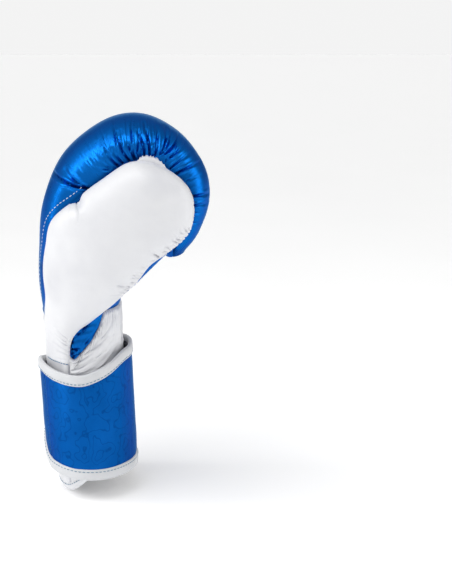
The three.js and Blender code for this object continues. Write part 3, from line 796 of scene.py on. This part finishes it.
def add_fist():
    outer, row = respace(fist_grid(470, 1200, 0.0), 185, 0.5)
    inner, _ = fist_grid(470, 14, 6.0)
    along, away = along_outline(outer, outline_of_thumb())
    thumb_side = smooth(-outer[..., 1], 4, 24)
    beyond = smooth(row, 3.0, 5.0)
    first, last = border_distance(outer)
    low = steps(outer, 0)

    amount = 0.6 * noise(outer, 38.0, SEED + 1)
    busy = beyond * (0.25 + 0.75 * smooth(outer[..., 0], -5, 28))
    gathers = 0.3 * pucker(along, away, 6.0, 1.0, 11.0, SEED + 3) * busy
    gathers += creases(outer, MAIN_CREASES)
    gathers += 0.8 * creases(outer, fine_creases()) * (0.25 * beyond + 0.75 * busy)
    gathers += 0.35 * pucker(along, away, 2.6, 0.6, 9.0, SEED + 4) * busy
    swell = 1.4 * bump(away - 13, 9.0) * beyond
    amount += thumb_side * (gathers + swell)

    # The little finger's side: gathers along the seam to the palm, strongest over the curled fingers.
    curled = smooth(row, 3.5, 6.5) * smooth(outer[..., 1], 0, 20)
    amount += curled * pucker(low + SIDE_GATHER_SHIFT, last, 8.0, 2.4, 15.0, SIDE_GATHER_SEED)
    amount += curled * 0.4 * pucker(low, last, 3.0, 0.9, 18.0, SEED + 6)
    tip_side = smooth(row, 9.0, 10.5) * smooth(-outer[..., 1], 0, 20)
    amount += 0.7 * tip_side * pucker(low + 40, first, 6.0, 1.6, 9.0, SEED + 7)

    # The bend at the back of the hand and the seam edges.
    bend = bump(low - 46 - 3 * noise(outer, 20.0, SEED + 8), 2.2)
    amount -= 0.5 * bend * smooth(np.abs(outer[..., 1]), 8, 30)
    amount -= 1.3 * bump(last, 1.5) + 1.3 * bump(first, 1.5) + 0.8 * bump(low, 1.3)
    amount += 0.5 * bump(last - 4.5, 2.5) + 0.4 * bump(low - 4.0, 2.0)
    amount *= calm_end(row)

    drawn_up = smooth(-outer[..., 1], 2, 20) * busy * np.exp(-away / 22)
    drawn_up = np.maximum(drawn_up, 0.8 * curled * np.exp(-last / 18))
    # Painted shade: the blue darkens within a few millimetres of the thumb's edge, where the thumb shades it,
    # and over the end of the curled fingers on the thumb's side.
    painted_shade = thumb_side * beyond * np.exp(-away / 3.0)
    painted_shade = np.maximum(painted_shade, 0.85 * thumb_side * smooth(row, 11.0, 12.3))
    obj, lifted = panel("fist_cover", outer, inner, amount, BLUE, (along, away, drawn_up), painted_shade)
    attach(obj, "hand")
    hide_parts("fist_leather", "knuckle_foam_outer", "knuckle_foam_inner")

    up = normals(lifted)
    path, facing = line_at(lifted, up, 3.2, from_end=True)
    add_thread("fist_side_stitches", path[24:-12], facing[24:-12], BLUE_THREAD, "hand")
    add_thread("fist_wrist_stitches", lifted[3, 14:-4], up[3, 14:-4], BLUE_THREAD, "hand")

    # Topstitching beside the thumb's upper edge, from the back of the wrist to the bend of the fist.
    thumb_row = np.linspace(2.3, 7.55, 110)
    edge = thumb_at(thumb_row, 180)[:, [0, 2]]
    ahead = unit(np.gradient(edge, axis=0))
    offset = 5.0 - 1.2 * smooth(thumb_row, 6.4, 7.2)
    line = edge + offset[:, None] * xyz(-ahead[:, 1], ahead[:, 0])
    seen = outer[..., 1] < -16
    closest = [np.linalg.norm(lifted[seen][:, [0, 2]] - point, axis=1).argmin() for point in line]
    kernel = np.ones(7) / 7
    path, facing = (
        np.stack([np.convolve(column, kernel, "valid") for column in values[seen][closest].T], axis=1)
        for values in (lifted, up)
    )
    add_thread("back_stitches", path, facing, WHITE_THREAD, "hand", pitch=3.4, length=2.3)


def add_thread(name, path, facing, material, body, **shape):
    """Stitches that ride on one body, or else stay in place with their transform baked in."""
    obj = stitches(name, path, facing, material, **shape)
    if isinstance(body, str):
        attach(obj, body)
    else:
        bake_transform(obj)


def add_palm():
    outer, row = palm_grid(330, 170, 0.0)
    inner, _ = palm_grid(330, 12, 4.0)
    first, last = border_distance(outer)
    low = steps(outer, 0)
    amount = 0.5 * noise(outer, 30.0, SEED + 11) + 0.2 * noise(outer, 9.0, SEED + 12)
    # The curl of the palm folds across it.
    fold = 1.7 * pucker(low, np.abs(outer[..., 1]) * 0.35, 9.0, 0.9, 26.0, SEED + 13)
    amount += fold * smooth(row, 3.0, 5.0) * smooth(-row, -11.0, -8.0)
    curled = smooth(row, 3.5, 6.0)
    amount += curled * pucker(low + SIDE_GATHER_SHIFT, first, 8.0, 1.6, 10.0, SIDE_GATHER_SEED)
    amount += 0.45 * pucker(low, last, 4.0, 0.9, 8.0, SEED + 14)
    amount += 0.5 * pucker(first, low, 4.2, 1.2, 11.0, SEED + 15)
    amount += 2.0 * creases(outer, LEAF_CREASES) * (outer[..., 1] < 0)
    amount -= 1.3 * bump(first, 1.5) + 1.3 * bump(last, 1.5) + 1.0 * bump(low, 1.3)
    amount += 0.6 * bump(low - 4.0, 2.5)
    amount *= calm_end(row)
    drawn_up = np.maximum(np.exp(-low / 14), 0.8 * curled * np.exp(-first / 16))
    crosswise = np.where(low < first, first, low)
    gather = (crosswise, np.minimum(low, first), drawn_up)
    # Painted shade: the palm panel's leaf on the thumb's side, low down under the thumb, is darkened a
    # little.
    leaf_shade = 0.3 * (outer[..., 1] < 0) * smooth(-outer[..., 2], -165, -145)
    obj, lifted = panel("palm_cover", outer, inner, amount, BLUE, gather, leaf_shade)
    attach(obj, "hand")
    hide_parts("palm_leather", "palm_foam")
    path, facing = line_at(lifted, normals(lifted), 3.0)
    add_thread("palm_side_stitches", path[10:-12], facing[10:-12], BLUE_THREAD, "hand")


def add_wrist():
    degrees = np.linspace(-180, 180, 600, endpoint=False)[None, :]
    start = CUFF_ROW + 0.08
    outer, inner = (
        hand_at(start + (wrist_top(degrees) - start) * rows_of(count), degrees, inset)
        for count, inset in ((110, 0.0), (6, 4.0))
    )
    _, high = border_distance(outer, axis=0)
    x, y, z = (outer[..., k] for k in range(3))
    amount = 0.35 * noise(outer, 22.0, SEED + 21)
    # Seams up both sides, and the pull of the leather towards the corner of the leaf.
    side = np.abs(x - CUFF_SEAM_X + 0.02 * (z - 120))
    below_leaf = np.where(y > 0, 1.0, smooth(-z, -124, -120))
    seam = bump(side, 0.6) * below_leaf
    amount -= 1.5 * seam
    amount += 0.4 * bump(side - 3.5, 2.0) * below_leaf
    corner_x, corner_z = -24, 102
    angle = np.degrees(np.arctan2(z - corner_z, x - corner_x))
    radius = np.hypot(z - corner_z, x - corner_x)
    thumb_side = smooth(-y, 8, 24) * smooth(x, -12, -6)
    ray = xyz(angle * 1.1, radius * 0.35, 0.0)
    ray_noise = noise(ray, 4.2, SEED + 22) + 0.6 * noise(ray, 2.1, SEED + 23)
    amount += 0.7 * thumb_side * ray_noise * smooth(radius, 6, 16) * np.exp(-radius / 60)
    amount += 1.1 * creases(outer, HEEL_CREASES) * (y < 0)
    border = pucker(steps(outer, 1), high, 2.4, 1.0, 7.0, SEED + 24) * smooth(high, 0, 1.5)
    amount += (1.3 + 3.2 * thumb_side) * border
    # Soft folds across the wrist where it bends.
    level = z + 2.5 * noise(outer, 18.0, SEED + 25)
    for height, depth in ((131, 0.6), (139, 0.45), (120, 0.35)):
        amount -= depth * bump(level - height, 1.5) * (0.5 + 0.5 * noise(outer, 14.0, SEED + 26))
    amount -= 1.1 * bump(high, 1.3)
    amount += 0.5 * bump(high - 3.5, 2.0)
    # The seam's groove also gets painted shade, as a dark line.
    obj = sleeve("wrist_cover", outer, inner, amount, WHITE, 1.3 * seam)
    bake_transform(obj)
    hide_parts("wrist_leather", "heel_leather")


def outside_hand(points, margin):
    """Points pushed out to stay at least a margin outside the wrist, whose sections are level."""
    z = points[..., 2]
    first_level, spacing = 118, 29.5
    row = np.clip((z - first_level) / spacing, CUFF_ROW, 1.6)
    table = sample(HAND, row + 1)
    centre = (table[..., 0] + table[..., 2]) / 2
    depth = (table[..., 2] - table[..., 0]) / 2
    width = np.where(points[..., 1] > 0, table[..., 5], table[..., 4])
    exponent = hand_exponent(row)
    x = points[..., 0] - centre
    y = points[..., 1]
    size = (np.abs(x / depth) ** exponent + np.abs(y / width) ** exponent) ** (1 / exponent)
    reach = np.maximum(np.hypot(x, y), 1e-6)
    gap = reach * (1 - 1 / np.maximum(size, 1e-6))
    soft = 1.2
    wanted = margin + soft * np.logaddexp(0, (gap - margin) / soft)
    push = (wanted - gap) * smooth(-z, -172, -150) / reach
    return points + xyz(x * push, y * push, 0.0)


def thumb_grid(rows, columns, first_degrees, last_degrees, inset, start=0.13):
    """Part of the thumb between two angles. An end at the lower edge follows its seam, which comes round to
    the outer face halfway up."""
    share = rows_of(rows)
    seam_row, seam_reach, seam_turn = 5.45, 0.85, 26
    turn = seam_turn * bump(start + (THUMB_END_ROW - start) * share - seam_row, seam_reach)
    first = first_degrees + turn * (first_degrees < 90)
    last = last_degrees + turn * (last_degrees > 270)
    degrees = first + (last - first) * columns_of(columns)
    low = start + 0.06 * (degrees - 90) / 180
    row = low + (THUMB_END_ROW + THUMB_ROUND_OFF * 0.985 - low) * share
    return thumb_at(row, degrees, inset)


def edge_creases():
    """Short creases drawn up along the thumb's lower edge: start x z, end x z, bow, depth, width."""
    rng = np.random.default_rng(SEED + 38)
    curves = []
    for row in np.linspace(4.5, 8.8, 42):
        low, high = (thumb_at(row, degrees)[[0, 2]] for degrees in (0, 180))
        inward = unit(high - low)
        inward = inward + rng.uniform(-0.35, 0.35) * np.array([-inward[1], inward[0]])
        start = low + rng.uniform(0, 1.5) * inward
        end = start + rng.uniform(4.5, 11) * inward
        curves.append((*start, *end, rng.uniform(-0.8, 0.8), rng.uniform(0.4, 1.3), rng.uniform(0.5, 0.8)))
    return curves


def add_thumb():
    outer = outside_hand(thumb_grid(300, 150, -9, 189, 0.0), 0.7)
    inner = outside_hand(thumb_grid(300, 14, 4, 176, 7.0), -3.5)
    from_notch = np.linalg.norm(outer[..., [0, 2]] - THUMB_NOTCH, axis=-1)
    outer = outer - normals(outer) * (3.6 * bump(from_notch, 4.6))[..., None]
    first, last = border_distance(outer)
    climb = steps(outer, 0)
    amount = 0.45 * noise(outer, 30.0, SEED + 31) + 0.1 * noise(outer, 8.0, SEED + 32)
    # Gathers: beside the seam above the wrist, at the notch of the upper edge and round the end of the thumb.
    wrist_part = bump(climb - 14, 14.0)
    amount += wrist_part * pucker(climb, first, 3.2, 1.3, 8.0, SEED + 33)
    amount += creases(outer, THUMB_CREASES)
    amount += bump(from_notch, 24.0) * pucker(climb, last, 2.8, 1.3, 5.0, SEED + 34)
    edge_pull = smooth(climb, 60, 110) * smooth(first, 0, 5)
    amount += edge_pull * pucker(climb, first, 2.6, 2.0, 10.0, SEED + 35)
    amount += creases(outer, edge_creases()) * smooth(first, 0, 3)
    gentle = smooth(climb, 40, 90) * smooth(-outer[..., 0], -30, 10)
    amount += gentle * pucker(climb, last, 3.4, 0.6, 4.0, SEED + 36)
    amount += 0.5 * pucker(first, climb, 3.0, 0.9, 5.0, SEED + 37)
    amount -= 1.0 * bump(climb, 1.2) + 0.35 * bump(first, 1.2) + 0.1 * bump(last, 1.2)
    obj, lifted = panel("thumb_cover", outer, inner, amount, WHITE)
    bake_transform(obj)
    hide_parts("thumb_leather_outer", "thumb_foam", "thumb_base_leather", "thumb_base_foam")
    path, facing = lifted[1, 6:-6], normals(lifted)[1, 6:-6]
    add_thread("wrist_crease_stitches", path, facing, BLUE_THREAD, "hand", pitch=2.6, length=2.0)


def add_thumb_inner():
    outer = thumb_grid(220, 90, 189, 351, 0.0, start=2.2)
    inner = thumb_grid(220, 10, 200, 340, 5.0, start=2.2)
    first, last = border_distance(outer)
    climb = steps(outer, 0)
    amount = 0.4 * noise(outer, 24.0, SEED + 41)
    amount += pucker(climb, first, 4.5, 1.2, 8.0, SEED + 42) + pucker(climb, last, 4.5, 1.2, 8.0, SEED + 43)
    amount -= 0.9 * bump(first, 1.3) + 0.9 * bump(last, 1.3)
    obj, _ = panel("thumb_inner_cover", outer, inner, amount, BLUE)
    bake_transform(obj)
    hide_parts("thumb_leather_inner")


def add_tether():
    """A short white strip from the thumb's upper edge to the side of the fist, drawn up in small gathers."""
    middle, half = 54, 12
    x = middle + half * (2 * rows_of(110) - 1)
    share = columns_of(36)
    reach = np.clip(1 - np.abs((x - middle) / half) ** 2.6, 0, 1) ** 0.6
    wave = np.sin(x * 2.3 + 1.3 * np.sin(x * 0.7))
    y = -70.5 + 19.5 * share * reach * (1 + 0.06 * wave * smooth(share, 0.2, 1.0))
    edge = sample(THUMB, np.interp(x[:, 0], [14, 36, 54, 68], [8, 9, 10, 11]))[:, 2:3]
    z = edge - 1.2 + 4.6 * smooth(share, 0.0, 0.45) * reach
    z = z + 0.45 * wave * smooth(share, 0.15, 0.9)
    top = xyz(x, y, z)
    bottom = top[:, ::7] - np.array([0, 0, 1.4])
    # Painted shade: the strip darkens where it leaves the thumb's edge, as in a crease.
    deep = np.broadcast_to(0.9 * bump(share, 0.26), top.shape[:2])
    fields = {"crease": beside(deep, np.zeros(bottom.shape[:2]))}
    obj = build("tether_strip", beside(top, bottom), WHITE, fields=fields)
    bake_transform(obj)
    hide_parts("thumb_tether")


# ---------- cuff ----------
def hem_line(degrees):
    """Height of the hem: level at the back, then climbing to the palm side."""
    climb = HEM_SLOPE * (cuff_at(degrees, 4, 0)[..., 0] - HEM_FLAT_X)
    room = HEM_RISE - (climb + np.hypot(climb, 3.0)) / 2
    return HEM_RISE - (room + np.hypot(room, 3.0)) / 2


def slit_degrees(z):
    """Angle of the slit's edge on the palm side at a height."""
    half = SLIT[0] + (SLIT[1] - SLIT[0]) * (np.asarray(z, float) - SLIT_LOW_Z) / (CUFF_TOP_EDGE - SLIT_LOW_Z)
    return np.degrees(np.arcsin(half / CUFF_HALF_WIDTH))


def cuff_grid(rows, columns, outside):
    """The cuff's leather from one edge of the slit round to the other, in rows from the hem up."""
    share = rows_of(rows)
    start = slit_degrees(CUFF_LIFT + (CUFF_TOP_EDGE - CUFF_LIFT) * share)
    degrees = start + (360 - 2 * start) * columns_of(columns)
    low = hem_line(degrees) + CUFF_LIFT
    return cuff_at(degrees, low + (CUFF_TOP_EDGE - low) * share, outside)


def add_cuff():
    outer, inner = cuff_grid(110, 330, 0.0), cuff_grid(110, 40, -7.0)
    first, last = border_distance(outer)
    low, high = border_distance(outer, axis=0)
    seam = np.abs(outer[..., 0] - CUFF_SEAM_X)
    amount = 0.3 * noise(outer, 20.0, SEED + 51) + 0.15 * noise(outer, 7.0, SEED + 52)
    amount += 0.9 * pucker(first, np.maximum(low - 4, 0), 5.5, 1.0, 9.0, SEED + 53)
    amount += 0.5 * pucker(low, seam, 4.0, 0.9, 5.0, SEED + 54)
    amount -= 1.1 * bump(seam, 1.0) + 0.8 * (bump(first, 1.3) + bump(last, 1.3) + bump(high, 1.3))
    obj, lifted = panel("cuff_cover", outer, inner, amount, WHITE)
    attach(obj, "cuff")
    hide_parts("cuff_leather_back", "cuff_leather_front", "cuff_foam")
    up = normals(lifted)
    for name, from_end in (("slit_stitches_a", False), ("slit_stitches_b", True)):
        path, facing = line_at(lifted, up, 3.0, from_end)
        add_thread(name, path[8:], facing[8:], WHITE_THREAD, "cuff")


def rounded(count, half_a, half_b, exponent=3.0):
    """A rounded-rectangle loop of pairs round the origin."""
    angle = np.linspace(0, 2 * math.pi, count, endpoint=False)
    return half_a * power(np.cos(angle), exponent), half_b * power(np.sin(angle), exponent)


def add_hem():
    start = float(slit_degrees(20.0))
    stitch_rise = 1.9  # height of the stitches over the roll's middle
    degrees = np.linspace(start, 360 - start, 420)[:, None]
    outside, rise = rounded(34, 4.8, HEM_WIDTH / 2)
    middle = hem_line(degrees) + HEM_WIDTH / 2
    length = 0.66 * np.arange(1, len(degrees) + 1)[:, None]
    gather = 0.28 * noise(xyz(length, outside, 0.0), 4.0, SEED + 61)
    groove = 0.45 * bump(rise - stitch_rise, 0.7) * (outside > 0)
    wide = np.sign(outside) * (gather * (np.abs(outside) > 4) - groove)
    grid = cuff_at(degrees, middle + rise, -4.1 + outside + wide)
    grid[..., 2] = np.maximum(grid[..., 2], 0.0)
    obj = build("hem_roll", grid, WHITE)
    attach(obj, "cuff")
    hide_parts("hem_binding")
    line = cuff_at(degrees, middle + stitch_rise, 0.35)[:, 0]
    facing = line - np.array([2.0, 0.0, 0.0]) - line * np.array([0.0, 0.0, 1.0])
    add_thread("hem_stitches", line, facing, BINDING_THREAD, "cuff", pitch=3.2, length=2.2)


def round_cuff(degrees, z, outside):
    """Points of what lies round the cuff, which does not tuck in with the cuff's hem."""
    return cuff_at(degrees, z, outside, tucked=False)


def band(degrees, low, high, inner, outer, columns, back_columns):
    """The grid of a band round the cuff between two heights and two distances from the cuff's leather."""
    face, back = (
        round_cuff(degrees, low + (high - low) * columns_of(count), outside)
        for count, outside in ((columns, outer), (back_columns, inner))
    )
    return beside(face, back)


def add_gusset_and_tapes():
    degrees = -24 + 48 * rows_of(60)
    gusset = build("slit_gusset_cloth", band(degrees, 36, 108, -10.2, -8.8, 40, 40), ELASTIC)
    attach(gusset, "cuff")
    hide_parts("slit_gusset")
    degrees = 146 + 100 * rows_of(120)
    loop = build("loop_tape_patch", band(degrees, 44, 98, 0.2, 1.5, 50, 50), LOOP)
    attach(loop, "cuff")
    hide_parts("loop_patch")


def mouth_edge(degrees):
    """Lower edge of the lining: along the hem, and above the open part of the slit."""
    off_slit = np.abs(np.mod(np.asarray(degrees) + 180, 360) - 180)
    return hem_line(degrees) + CUFF_LIFT + 14 * (1 - smooth(off_slit, 10, 20))


def hollow_at(row, degrees, grow):
    """Points of the room for the hand. Grow is how far outside it they lie."""
    row, degrees = grown(row, degrees)
    sizes = sample(HOLLOW, row)
    table = sample(HAND, row + 1)
    back, palm = table[..., 0:2], table[..., 2:4]
    scale, _ = dome(row, 9.2, 0.8, 0.98)
    angle = np.radians(degrees)
    thick = sizes[..., 0] / 2
    depth = PALM_PAD + thick + (thick + grow) * scale * power(np.cos(angle), 2.5)
    flat = palm + unit(back - palm) * depth[..., None]
    side = power(np.sin(angle), 2.5)
    width = np.where(side > 0, sizes[..., 2], sizes[..., 1]) + grow
    return xyz(flat[..., 0], side * width * scale, flat[..., 1])


def sock(name, surface):
    """A thin sock of cloth, from the closed end of its outer face to its mouth and back inside. Surface gives
    its rows, from mouth to end, at a distance outside the room that it lines."""
    return build(name, np.concatenate([surface(1.4)[::-1], surface(0.0)]), LINING)


def add_lining():
    degrees = np.linspace(0, 360, 150, endpoint=False)[None, :]

    def surface(grow):
        low = mouth_edge(degrees)
        tube = cuff_at(degrees, low + (112 - low) * rows_of(50), -8.3 + grow)
        room = hollow_at(np.linspace(0.12, 10, 110)[:, None], degrees + 180, grow)
        return np.concatenate([tube, room])

    obj = sock("lining_sock", surface)
    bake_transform(obj)
    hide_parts("cuff_lining", "hand_lining")


def add_thumb_lining():
    row = np.linspace(0.6, 5, 60)
    centre = sample(THUMB_HOLLOW, row)
    along = unit(np.gradient(centre[:, :3], axis=0))
    u = unit(np.array([0.0, 1.0, 0.0]) - along * along[:, 1:2])
    v = np.cross(along, u)
    scale, lift = dome(row, 4.2, 0.8, 0.97)
    angle = np.linspace(0, 2 * math.pi, 48, endpoint=False)

    def surface(grow):
        radius = ((centre[:, 3] + grow) * scale)[:, None, None]
        around = u[:, None] * np.cos(angle)[:, None] + v[:, None] * np.sin(angle)[:, None]
        ahead = along * ((6 + grow) * lift)[:, None]
        return centre[:, None, :3] + radius * around + ahead[:, None]

    obj = sock("thumb_lining_sock", surface)
    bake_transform(obj)
    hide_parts("thumb_lining", "thumb_sleeve")


# ---------- strap ----------
STRAP_BODIES = ["cuff", "strap_1", "strap_2", "strap_3", "strap_4"]
STRAP_RADIUS = 46.0  # mean radius of the strap, for lengths along it
# Distances from the cuff's leather to the strap's layers.
BACKING_IN, BACKING_OUT, LEATHER_BACK, BINDING_MIDDLE, CROWN = 3.0, 3.7, 3.6, 5.3, 6.35
STRAP_OVERLAP = 1.5  # how far the leather reaches under its bindings
CROSS_SEAM_DEG = 150.0  # the line of stitches across the strap


def strap_edges(degrees):
    """Heights of the strap's top and bottom edges, with their corners rounded."""
    table = np.array(STRAP_EDGES)
    even = np.arange(table[0, 0] - 20, table[-1, 0] + 21)
    kernel = np.hanning(27) / np.hanning(27).sum()
    softened = [np.convolve(np.interp(even, table[:, 0], table[:, k]), kernel, "same") for k in (1, 2)]
    return tuple(np.interp(degrees, even, edge) for edge in softened)


def sewn_down(degrees):
    """Share of the strap's full stand-off: it is sewn flat to the cuff at its base."""
    return 0.12 + 0.88 * smooth(degrees, STRAP_CUTS[0], STRAP_CUTS[0] + 14)


def strap_blend(k):
    """The hinge between two stretches of strap, and how far along the strap its bend reaches."""
    angle = STRAP_HINGES[k]
    middle, ahead = round_cuff([angle, angle + 1], 65, 7.2)
    bend = STRAP_BEND * unit(ahead - middle)
    return STRAP_BODIES[k], STRAP_BODIES[k + 1], to_row(middle - bend), to_row(middle + bend)


def add_strap_thread(name, place, material, blend, pitch=3.3, length=2.3):
    """Stitches along a line on the strap, whose place is its angles, heights and distances from the cuff."""
    line = round_cuff(*place)
    facing = line - round_cuff(*place[:2], 0.0)
    add_thread(name, line, facing, material, blend, pitch=pitch, length=length)


def add_strap_stretch(k):
    start, end = STRAP_CUTS[k], STRAP_CUTS[k + 1]
    free = k == len(STRAP_HINGES) - 1
    share = rows_of(int((end - start) * 1.7))
    full = start + (end - start) * share
    degrees = start + (end - start - (END_STRIP_DEG - STRAP_OVERLAP if free else 0)) * share
    blend = strap_blend(k)
    nodes = [k, k + 1] if free else [k]

    # Leather, crowned between the bound edges.
    top, bottom = strap_edges(degrees)
    low, high = bottom + STRAP_BINDING - STRAP_OVERLAP, top - STRAP_BINDING + STRAP_OVERLAP
    z = low + (high - low) * columns_of(70)
    near_edge = np.minimum(z - low, high - z)
    place = xyz(degrees * 0.8, z, 0.0)
    crown = CROWN - 0.75 * np.exp(-near_edge / 3.2) + 0.22 * noise(place, 15.0, SEED + 71)
    ripple = noise(place * np.array([1.0, 0.35, 1.0]), 3.2, SEED + 72)
    crown += 0.10 * ripple * (0.4 + np.exp(-near_edge / 12))
    crown -= 0.35 * bump(degrees - CROSS_SEAM_DEG, 0.9)
    stand = sewn_down(degrees)
    grid = band(degrees, low, high, LEATHER_BACK * stand, crown * stand, 70, 8)
    flat = xyz(np.radians(degrees) * STRAP_RADIUS, z) * MM
    cover = build(f"strap_cover_{k}", grid, STRAP_BLUE, uv=beside(flat, flat[:, 6::9]))
    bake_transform(cover)
    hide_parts(*[f"strap_leather_{i}" for i in nodes])

    # Cloth backing.
    grid = band(degrees, bottom + 5, top - 5, BACKING_IN * stand, BACKING_OUT * stand, 16, 16)
    backing = build(f"strap_backing_{k}", grid, LINING)
    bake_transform(backing)
    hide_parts(*[f"strap_core_{i}" for i in nodes])

    # Bound edges with their stitching.
    top, bottom = strap_edges(full)
    outside, rise = rounded(26, 1.95, STRAP_BINDING / 2, 2.8)
    stand = sewn_down(full)
    spot = xyz(full * 0.8, rise * 0.5, 0.0)
    ripple = 0.16 * noise(spot, 3.4, SEED + 73) + 0.2 * noise(spot, 12.0, SEED + 74)
    for name, border, inward in (("top", top, -1), ("bottom", bottom, 1)):
        middle = border + inward * STRAP_BINDING / 2
        stitch_rise = inward * (STRAP_BINDING / 2 - 2.0)
        groove = 0.4 * bump(rise - stitch_rise, 0.7) * (outside > 0)
        ring = BINDING_MIDDLE + outside * (1 + 0.12 * (outside > 0)) - groove + ripple
        edge = build(f"strap_edge_{name}_{k}", round_cuff(full, middle + rise, ring * stand), BINDING)
        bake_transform(edge)
        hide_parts(*[f"strap_binding_{name}_{i}" for i in nodes])
        place = [part[:, 0] for part in (full, middle + stitch_rise, 7.05 * stand)]
        add_strap_thread(f"strap_stitches_{name}_{k}", place, BINDING_THREAD, blend)


def add_strap_end():
    """The bound free end, the stitch line across the strap near it, and the hook tape behind it."""
    blend = strap_blend(3)
    middle = STRAP_CUTS[-1] - END_STRIP_DEG / 2
    top, bottom = strap_edges(middle)
    z = np.linspace(bottom + 1.0, top - 1.0, 120)
    across, outside = rounded(26, END_STRIP_DEG / 2 + 0.6, 2.1, 2.8)
    grid = round_cuff(middle + across, z[:, None], BINDING_MIDDLE + outside)
    strip = build("strap_edge_end", grid, BINDING)
    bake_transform(strip)
    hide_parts("strap_binding_end")
    add_strap_thread("strap_end_stitches", (middle - 1.6, z[8:-8], 7.35), BINDING_THREAD, blend)
    across_strap = (CROSS_SEAM_DEG, np.linspace(33, 98, 60), 6.1)
    add_strap_thread("strap_cross_stitches", across_strap, BLUE_THREAD, blend, pitch=2.8, length=2.0)

    grid = band(162.5 + 42.5 * rows_of(60), 54, 92, 1.9, 3.1, 40, 40)
    hook = build("hook_tape_patch", grid, HOOK)
    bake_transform(hook)
    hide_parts("hook_patch")


# ---------- camera, light and floor ----------
FRONT_LIGHT, BACK_LIGHT, OVERHEAD_LIGHT, BACKDROP_LIGHT = 0.71, 0.4, 1.9, 0.9


def add_camera():
    distance, elevation = 1.0, math.radians(12)
    target = to_row((33, 0, 160))
    camera = bpy.data.objects.new("camera", bpy.data.cameras.new("camera"))
    camera.data.lens = 73.4
    camera.data.shift_x = 0.173
    camera.data.shift_y = 0.0137
    camera.data.clip_start = 0.05
    camera.location = target + distance * np.array([0.0, -math.cos(elevation), math.sin(elevation)])
    camera.rotation_euler = (math.pi / 2 - elevation, 0, 0)
    bpy.context.scene.collection.objects.link(camera)
    bpy.context.scene.camera = camera


def add_softbox(name, location, aim, size, watts):
    light = bpy.data.lights.new(name, "AREA")
    light.shape = "RECTANGLE"
    light.size, light.size_y = size
    light.energy = watts
    obj = bpy.data.objects.new(name, light)
    obj.location = location
    direction = np.array(aim) - np.array(location)
    yaw = math.atan2(direction[1], direction[0]) - math.pi / 2
    pitch = math.atan2(direction[2], math.hypot(direction[0], direction[1]))
    obj.rotation_euler = (math.pi / 2 + pitch, 0, yaw)
    bpy.context.scene.collection.objects.link(obj)


def add_world():
    """A pale room, bright in front and dim behind, with a broad light overhead and a pale backdrop behind."""
    n = Nodes(bpy.data.worlds.new("studio"), "Background")
    direction = n.add("ShaderNodeTexCoord").outputs["Generated"]

    def facing(towards, low, high, value_low, value_high):
        """A value that changes smoothly with the cosine of the angle to a direction."""
        dot = n.add("ShaderNodeVectorMath", operation="DOT_PRODUCT")
        n.feed(zip(dot.inputs, (direction, unit(np.array(towards)))))
        node = n.add("ShaderNodeMapRange", interpolation_type="SMOOTHSTEP", From_Min=low, From_Max=high)
        n.feed(((node.inputs["To Min"], value_low), (node.inputs["To Max"], value_high)))
        n.link(dot.outputs["Value"], node.inputs["Value"])
        return node.outputs["Result"]

    room = facing((-0.9, -1.0, 0.1), -0.4, 0.5, BACK_LIGHT, FRONT_LIGHT)
    overhead = facing((-0.25, -0.3, 1.0), 0.82, 0.95, 0.0, OVERHEAD_LIGHT)
    backdrop = facing((0.0, 1.0, 0.0), 0.91, 0.955, 0.0, BACKDROP_LIGHT)
    n.set(Color=(1, 1, 1, 1))
    n.link(n.math("MAXIMUM", room, n.math("MAXIMUM", overhead, backdrop)), n.shader.inputs["Strength"])
    bpy.context.scene.world = n.owner


def add_studio():
    add_world()
    middle = (0.0, 0.0, 0.17)
    add_softbox("softbox_left", (-0.9, 0.0, 0.8), middle, (0.25, 0.5), 1.6)
    add_softbox("softbox_side", (-1.0, 0.05, 0.3), middle, (0.07, 0.8), 0.9)
    add_softbox("softbox_right", (1.0, -0.1, 0.55), middle, (0.6, 0.8), 2.8)
    add_softbox("softbox_top", (-0.45, -0.36, 1.1), middle, (0.7, 0.14), 1.7)
    add_softbox("softbox_low", (-0.36, -0.13, 0.05), (-0.03, -0.04, 0.08), (0.035, 0.08), 0.05)
    reach, level = 60.0, -0.0003
    corners = [(x * reach, y * reach, level) for x, y in ((-1, -1), (1, -1), (1, 1), (-1, 1))]
    floor = add_mesh("floor", np.array(corners), [(0, 1, 2, 3)], plain_floor())
    bpy.context.scene.view_settings.view_transform = "Standard"


add_camera()
add_fist()
add_palm()
add_wrist()
add_thumb()
add_thumb_inner()
add_tether()
add_cuff()
add_hem()
add_gusset_and_tapes()
add_lining()
add_thumb_lining()
for stretch in range(len(STRAP_HINGES)):
    add_strap_stretch(stretch)
add_strap_end()
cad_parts["grip_bar"].material_slots[0].material = LINING
add_studio()
